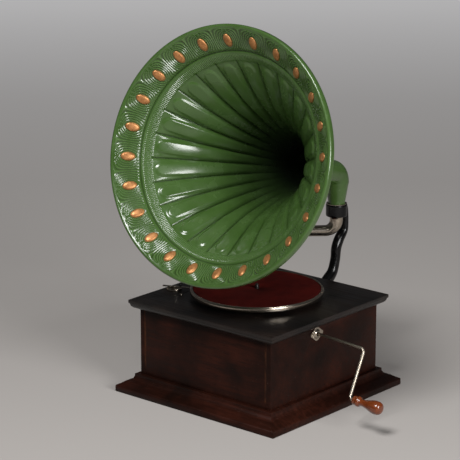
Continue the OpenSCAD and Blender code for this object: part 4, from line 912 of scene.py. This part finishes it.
class GRAMOPHONE_OT_escutcheon(Operator):
    """Builds the nickelled shield round the crank's hole, with its screws"""
    bl_idname = "gramophone.escutcheon"
    bl_label = "Escutcheon"

    def execute(self, context):
        worked("crank_shield", "case", "nickel", "crank_escutcheon", 0.45, 3)
        worked("crank_shield_screws", "case", "nickel", "escutcheon_screws", 0.2)
        return {"FINISHED"}


# Turntable

class GRAMOPHONE_OT_turntable(Operator):
    """Builds the nickelled platter, its felt mat and the spindle's pin"""
    bl_idname = "gramophone.turntable"
    bl_label = "Turntable"

    def execute(self, context):
        here = Matrix.Translation(PLATTER_AT)
        platter = ring("platter", [
            (4.15, 186), (12.2, 186), (13, 186.8), (13, 194.3), (119, 194.3), (121, 193.4), (121.6, 191.8),
            (121.6, 189.4), (122.1, 189), (124.8, 189), (125.9, 189.4), (126.6, 190.3), (126.9, 191.5),
            (127.0, 193.2), (127.0, 195.4), (126.8, 196.8), (126.3, 197.8), (125.7, 198.3), (125.6, 198.6),
            (125.5, 199.1), (124.9, 199.5), (123.2, 199.5), (122.2, 199.2), (121.7, 198.4), (121.5, 197.2),
            (121.2, 196.5), (4.15, 196.5)], 192)
        dress(settle(smooth(platter, 40), here), "turntable", "nickel", "turntable")
        felt = ring("mat", [(4.65, 196.5), (120.5, 196.5), (120.9, 196.9), (120.9, 198.3), (120.4, 198.9),
                            (119.6, 199), (70, 198.95), (5.4, 199), (4.65, 198.5)], 160)
        dress(settle(smooth(felt, 50), here), "turntable", "felt", "felt_mat")
        worked("spindle", "turntable", "steel", "turntable_spindle", 0, look="browned_steel")
        return {"FINISHED"}


class GRAMOPHONE_OT_brake(Operator):
    """Builds the brake's dish, lever, knob and pad, and the speed screw"""
    bl_idname = "gramophone.brake"
    bl_label = "Brake"

    def execute(self, context):
        here = Matrix.Translation(BRAKE_AT) @ turn(BRAKE_TURN, "Z")
        dish = turned("brake_dish", [
            (14.6, 182), (15, 182.4), (15, 184.4), (14.7, 185), (14.1, 185.2), (13.4, 185), (12.9, 184.2),
            (12.6, 183.4), (5.2, 183.4), (4.6, 183.8), (4.5, 184.2), (4.5, 186.9), (2.5, 186.94),
            (2.5, 188.7), (3.9, 188.7), (3.8, 189.2), (2.8, 189.7), (1.2, 189.75), (0, 189.8)],
            72, capped=True)
        dress(settle(smooth(dish, 40), here), "case", "nickel", "brake_plate")
        worked("brake_arm", "brake", "nickel", "brake_lever", 0.3)
        profile = eased([(1.8, 0, 0), (1.6, 1.2, 0), (3.1, 2.4, 0), (3.4, 3.8, 0), (2.8, 5, 0), (1.4, 5.7, 0),
                         (0.3, 5.9, 0)], 4)
        knob = turned("brake_button", [(p.x, 188.6 + p.y) for p in profile] + [(0, 194.5)], 40, capped=True)
        settle(smooth(knob, 50), here @ Matrix.Translation((12, 0, 0)))
        dress(knob, "brake", "knob_black", "brake_knob")
        worked("brake_leather", "brake", "leather", "brake_pad", 0.4)
        worked("speed_knob", "speed", "nickel", "speed_screw", 0.15)
        return {"FINISHED"}


# Crank

# The shaft droops a little past its knee, and the arm leans towards the front
CRANK_DROOP = Vector((0.99824, 0, -0.0593)).normalized()
CRANK_LEAN = Vector((0, -42.2, -82.85)).normalized()
KNEE = SHAFT_AT + Vector((172, 0, 0))
BEND = KNEE + CRANK_DROOP * (99 / CRANK_DROOP.x)
FOOT = BEND + CRANK_LEAN * 93
GRIP_R = 12.5
GRIP_LONG = 62


class GRAMOPHONE_OT_crank(Operator):
    """Builds the bent nickelled crank and its turned handle"""
    bl_idname = "gramophone.crank"
    bl_label = "Crank"

    def execute(self, context):
        start = SHAFT_AT + Vector((158.2, 0, 0))
        tip = FOOT + CRANK_DROOP * 10.4
        line = bent([start, KNEE, BEND, FOOT, tip], [60, 8, 8], 12)
        rod = drawn("crank_bar", line, [3.0] * len(line), 10)
        inner = turned("crank_bar_end", [(2.3, 133), (2.5, 133.2), (2.5, 158.6)], 32, capped=True)
        settle(inner, Matrix.Translation(SHAFT_AT) @ turn(90, "Y"))
        toward = CRANK_DROOP.to_track_quat("Z", "Y").to_matrix().to_4x4()
        pin = turned("crank_bar_pin", [(2.5, 8.5), (2.5, 69), (2.2, 69.4)], 32, capped=True)
        settle(pin, Matrix.Translation(FOOT) @ toward)
        rod = joined([rod, inner, pin])
        dress(smooth(rod, 40), "crank", "nickel", "crank_rod", look="rod_nickel")
        # Share of the grip's radius and of its length
        shares = [(0.60, 0), (0.66, 0.012), (0.67, 0.05), (0.66, 0.095), (0.73, 0.125), (0.765, 0.165),
                  (0.70, 0.205), (0.55, 0.235), (0.50, 0.30), (0.55, 0.40), (0.72, 0.53), (0.90, 0.65),
                  (1, 0.77), (0.97, 0.87), (0.83, 0.945), (0.55, 0.988), (0.2, 1.0)]
        profile = eased([(GRIP_R * r, GRIP_LONG * z, 0) for r, z in shares], 4)
        rows = [(2.56, 58), (2.56, 0.1), (7.0, 0)] + [(p.x, p.y) for p in profile] + [(0, GRIP_LONG)]
        grip = turned("crank_grip", rows, 64, capped=True)
        settle(smooth(grip, 50), Matrix.Translation(FOOT + CRANK_DROOP * 10.8) @ toward)
        dress(grip, "handle", "handle_wood", "crank_handle")
        return {"FINISHED"}


# Bracket

# Middle line of the bracket's arm: back, height and thickness
BRACKET_LINE = [
    (256, 314, 11), (259.5, 300, 13), (260.5, 276, 14), (258, 259, 17), (245, 243, 21), (236.5, 226, 21),
    (234, 206, 19), (226, 182, 22), (211, 168, 27), (190, 150, 32), (164, 128, 34)]


def bracket_limb():
    """The curved limb: an oval ring pulled along its line, turned and scaled at each step."""
    line = eased(BRACKET_LINE, 5)
    heading = [atan2((b - a).y, (b - a).x) for a, b in zip(line, line[1:])]
    heading = [heading[0]] + [(a + b) / 2 for a, b in zip(heading, heading[1:])] + [pi]
    drop_selection()
    first = line[0]
    place = Vector((0, first.x, first.y)) * MM
    bpy.ops.mesh.primitive_circle_add(vertices=48, radius=MM, fill_type="NGON", location=place)
    piece = named("bracket_limb")
    # The ring lies across the line, 20 mm wide along X
    piece.scale = (10, first.z / 2, 1)
    piece.rotation_euler.x = heading[0] - pi / 2
    bpy.ops.object.transform_apply(location=False, rotation=True, scale=True)
    edit(piece)
    for a, b, way, next_way in zip(line, line[1:], heading, heading[1:]):
        centre = Vector((0, b.x, b.y)) * MM
        bpy.ops.mesh.extrude_edges_move(TRANSFORM_OT_translate={"value": centre - place})
        # With no window this operator turns the other way
        bpy.ops.transform.rotate(value=way - next_way, orient_axis="X", center_override=centre)
        share = b.z / a.z
        bpy.ops.transform.resize(value=(1, share, share), center_override=centre)
        place = centre
    bpy.ops.mesh.edge_face_add()
    return settle(tidy(piece))


class GRAMOPHONE_OT_bracket(Operator):
    """Builds the black bracket as one casting, and its screws"""
    bl_idname = "gramophone.bracket"
    bl_label = "Bracket"

    def execute(self, context):
        limb = bracket_limb()
        here = Matrix.Translation(COLLAR_AT)
        collar = turned("bracket_collar", [(20.1, 293), (21, 294), (21, 316.6), (20.3, 317.6), (19.5, 318)],
                        64, capped=True)
        settle(collar, here)
        drop_selection()
        bpy.ops.mesh.primitive_cube_add(size=MM, location=(0, 161 * MM, 109 * MM), scale=(64, 6, 82))
        foot = settle(named("bracket_foot"))
        edit(foot)
        bpy.ops.mesh.select_all(action="DESELECT")
        bpy.ops.object.mode_set(mode="OBJECT")
        # The four edges through the foot are rounded
        for edge in foot.data.edges:
            a, b = (foot.data.vertices[v].co for v in edge.vertices)
            edge.select = abs(a.y - b.y) > MM
        bpy.ops.object.mode_set(mode="EDIT")
        bpy.ops.mesh.bevel(offset=10 * MM, segments=8, affect="EDGES")
        bpy.ops.object.mode_set(mode="OBJECT")
        casting = joined([limb, collar, foot])
        casting.name = casting.data.name = "bracket_casting"
        modify(casting, "REMESH", mode="VOXEL", voxel_size=1.1 * MM, adaptivity=0)
        modify(casting, "SMOOTH", factor=0.5, iterations=10)
        bore = turned("bracket_cut", [(13.56, 290), (13.56, 299), (16.5, 299), (16.5, 309.5), (18.06, 309.5),
                                      (18.06, 322)], 64, capped=True)
        cut_out(casting, settle(bore, here))
        for x in (-21, 21):
            for z in (81, 137):
                hole = turned("bracket_cut", [(2.45, -1), (2.45, 3.2), (5.1, 6.4), (5.1, 9)], 32, capped=True)
                across = Matrix.Translation((x, HALF_D, z)) @ turn(-90, "X")
                cut_out(casting, settle(hole, across))
        dress(smooth(casting, 40), "case", "black_iron", "bracket")
        worked("bracket_wood_screws", "case", "steel", "bracket_screws", 0.2)
        return {"FINISHED"}


class GRAMOPHONE_OT_collar(Operator):
    """Builds the nickelled ring in which the horn turns"""
    bl_idname = "gramophone.collar"
    bl_label = "Collar ring"

    def execute(self, context):
        collar = ring("horn_collar", [
            (16.7, 310), (18.0, 310), (18.0, 318.06), (20.1, 318.06), (20.4, 318.3), (20.4, 318.9),
            (20.0, 319.26), (17.8, 319.26), (17.3, 319.0), (16.7, 318.7)], 96)
        settle(smooth(collar, 40), Matrix.Translation(COLLAR_AT))
        dress(collar, "horn", "nickel", "collar_ring")
        return {"FINISHED"}


# Tone arm and soundbox

def arm_axes():
    """The tone arm's place: its pivot over the collar and its tube along +X."""
    return Matrix.Translation(COLLAR_AT) @ turn(ARM_TURN, "Z")


def stub_axes():
    """The stub's place on the arm, with its axis along +Z."""
    return Matrix.Translation((ARM_LEN, 0, STUB_Z)) @ turn(-90, "X")


def box_axes():
    """The soundbox's place: turned pieces lie with their axis across the arm."""
    return arm_axes() @ stub_axes()


class GRAMOPHONE_OT_tone_arm(Operator):
    """Builds the bent nickelled tone arm with its swivel and stub"""
    bl_idname = "gramophone.tone_arm"
    bl_label = "Tone arm"

    def execute(self, context):
        line = bent([(0, 0, 304), (0, 0, 263), (176.6, 0, 263), (ARM_LEN, 0, STUB_Z), (ARM_LEN, 23, STUB_Z)],
                    [22, 60, 12], 14)
        radii = []
        for point in line:
            # Widest under the collar, narrower round the bend and again before the soundbox
            r = 11 - 1.2 * (point.x - 22) / 150
            if point.x < 22.5:
                r = 13 - 2 * fade(point.x - (point.z - 285), 0, 44)
            radii.append(max(8.8, float(r) - max(0, (point.x - 195) / 20)))
        tube = drawn("arm_tube", line, radii, 14, capped=False)
        modify(tube, "SOLIDIFY", thickness=1.2 * MM, offset=-1)
        swivel = ring("arm_swivel", [
            (12.3, 289), (13.3, 289), (13.5, 289.3), (13.5, 299.06), (15.2, 299.06), (15.5, 299.4),
            (15.5, 301.8), (15.2, 302.06), (13.5, 302.06), (13.5, 303.8), (12.3, 304)], 64)
        stub = ring("arm_stub", [(8.3, 13), (9.3, 13), (9.6, 13.3), (9.6, 23), (8.3, 23)], 48)
        settle(stub, stub_axes())
        arm = settle(joined([tube, swivel, stub]), arm_axes())
        dress(smooth(arm, 40), "arm", "nickel", "tone_arm")
        return {"FINISHED"}


class GRAMOPHONE_OT_soundbox(Operator):
    """Builds the soundbox: shell, bezel, mica, gaskets, stylus bar, needle and needle screw"""
    bl_idname = "gramophone.soundbox"
    bl_label = "Soundbox"

    def execute(self, context):
        shell = ring("soundbox_shell", [
            (9.66, 16), (11.2, 16), (11.8, 16.5), (11.8, 22.6), (12.6, 23.6), (14, 24), (23.6, 24),
            (25.2, 24.6), (26, 26), (26, 30.6), (25.4, 31), (25.4, 32), (26, 32.4), (26, 36), (22, 36),
            (22, 26.5), (7.66, 26.5), (7.66, 23), (9.66, 23)], 96)
        dress(settle(smooth(shell, 40), box_axes()), "soundbox", "nickel", "soundbox_case")
        worked("soundbox_bezel", "soundbox", "nickel", "soundbox_ring", 0.4, 3)
        worked("soundbox_mica", "soundbox", "mica", "diaphragm", 0)
        worked("soundbox_gaskets", "soundbox", "rubber", "gaskets", 0.3)
        worked("stylus_arm", "stylus", "nickel", "stylus_bar", 0.25)
        worked("steel_needle", "stylus", "steel", "needle", 0)
        worked("needle_clamp", "needle_clamp", "nickel", "needle_screw", 0.25)
        return {"FINISHED"}


class GRAMOPHONE_OT_motor(Operator):
    """Gives the motor and the case's inner pieces their metals, wood, fibre and leather"""
    bl_idname = "gramophone.motor"
    bl_label = "Motor"

    def execute(self, context):
        for node in frame["nodes"].values():
            if not node.hide_render:
                node.data.materials[0] = finish_of(node.data.materials[0].name)
        return {"FINISHED"}


# Studio

def soft_box(name, place, toward, width, height, power):
    """A soft light of a given size that faces a point."""
    drop_selection()
    bpy.ops.object.light_add(type="AREA", location=place)
    lamp = named(name)
    lamp.rotation_euler = (Vector(toward) - Vector(place)).to_track_quat("-Z", "Y").to_euler()
    lamp.data.shape = "RECTANGLE"
    lamp.data.size = width
    lamp.data.size_y = height
    lamp.data.energy = power


class GRAMOPHONE_OT_studio(Operator):
    """Sets up the paper, the soft lights and the camera"""
    bl_idname = "gramophone.studio"
    bl_label = "Studio"

    def execute(self, context):
        settings = settings_of("studio")
        drop_selection()
        bpy.ops.mesh.primitive_plane_add(size=14, location=(-1.5, 1.5, 0))
        paper = settle(named("paper"))
        paper.data.materials.append(paper_sweep())
        middle = (0, -0.05, 0.3)
        soft_box("key_light", (0.5, -2.3, 3.5), middle, 1.2, 1.2, settings.key)
        soft_box("side_light", (3.15, -0.7, 1.3), middle, 1.5, 0.9, settings.side)
        world = bpy.data.worlds.new("even_light")
        bpy.context.scene.world = world
        world.use_nodes = True
        sky = world.node_tree.nodes["Background"]
        sky.inputs["Color"].default_value = linear("#e6e6e8")
        sky.inputs["Strength"].default_value = settings.room
        bpy.ops.object.camera_add(location=CAMERA_AT,
                                  rotation=(radians(CAMERA_PITCH), 0, radians(CAMERA_TURN)))
        camera = named("camera")
        camera.data.lens = settings.lens
        camera.data.sensor_width = 36
        bpy.context.scene.camera = camera
        bpy.context.scene.view_settings.view_transform = "Standard"
        return {"FINISHED"}


OPERATORS = (
    GRAMOPHONE_OT_studio, GRAMOPHONE_OT_case, GRAMOPHONE_OT_plinth, GRAMOPHONE_OT_escutcheon,
    GRAMOPHONE_OT_turntable, GRAMOPHONE_OT_brake, GRAMOPHONE_OT_crank, GRAMOPHONE_OT_bracket,
    GRAMOPHONE_OT_collar, GRAMOPHONE_OT_tone_arm, GRAMOPHONE_OT_soundbox, GRAMOPHONE_OT_elbow,
    GRAMOPHONE_OT_horn, GRAMOPHONE_OT_bosses, GRAMOPHONE_OT_motor,
)
SETTINGS = {
    "gramophone_horn": GramophoneHorn,
    "gramophone_case": GramophoneCase,
    "gramophone_metal": GramophoneMetal,
    "gramophone_studio": GramophoneStudio,
}


class GRAMOPHONE_PT_pieces(Panel):
    """Lists the gramophone's settings and pieces"""
    bl_idname = "GRAMOPHONE_PT_pieces"
    bl_label = "Horn Gramophone"
    bl_space_type = "VIEW_3D"
    bl_region_type = "UI"
    bl_category = "Gramophone"

    def draw(self, context):
        for name, group in SETTINGS.items():
            box = self.layout.box()
            for prop in group.__annotations__:
                box.prop(getattr(context.scene, name), prop)
        for operator in OPERATORS:
            self.layout.operator(operator.bl_idname)


def register():
    for name, group in SETTINGS.items():
        bpy.utils.register_class(group)
        setattr(bpy.types.Scene, name, PointerProperty(type=group))
    for operator in OPERATORS:
        bpy.utils.register_class(operator)
    bpy.utils.register_class(GRAMOPHONE_PT_pieces)


def unregister():
    bpy.utils.unregister_class(GRAMOPHONE_PT_pieces)
    for operator in reversed(OPERATORS):
        bpy.utils.unregister_class(operator)
    for name, group in SETTINGS.items():
        delattr(bpy.types.Scene, name)
        bpy.utils.unregister_class(group)


def main():
    register()
    for operator in OPERATORS:
        group, name = operator.bl_idname.split(".")
        getattr(getattr(bpy.ops, group), name)()


if __name__ == "__main__":
    main()
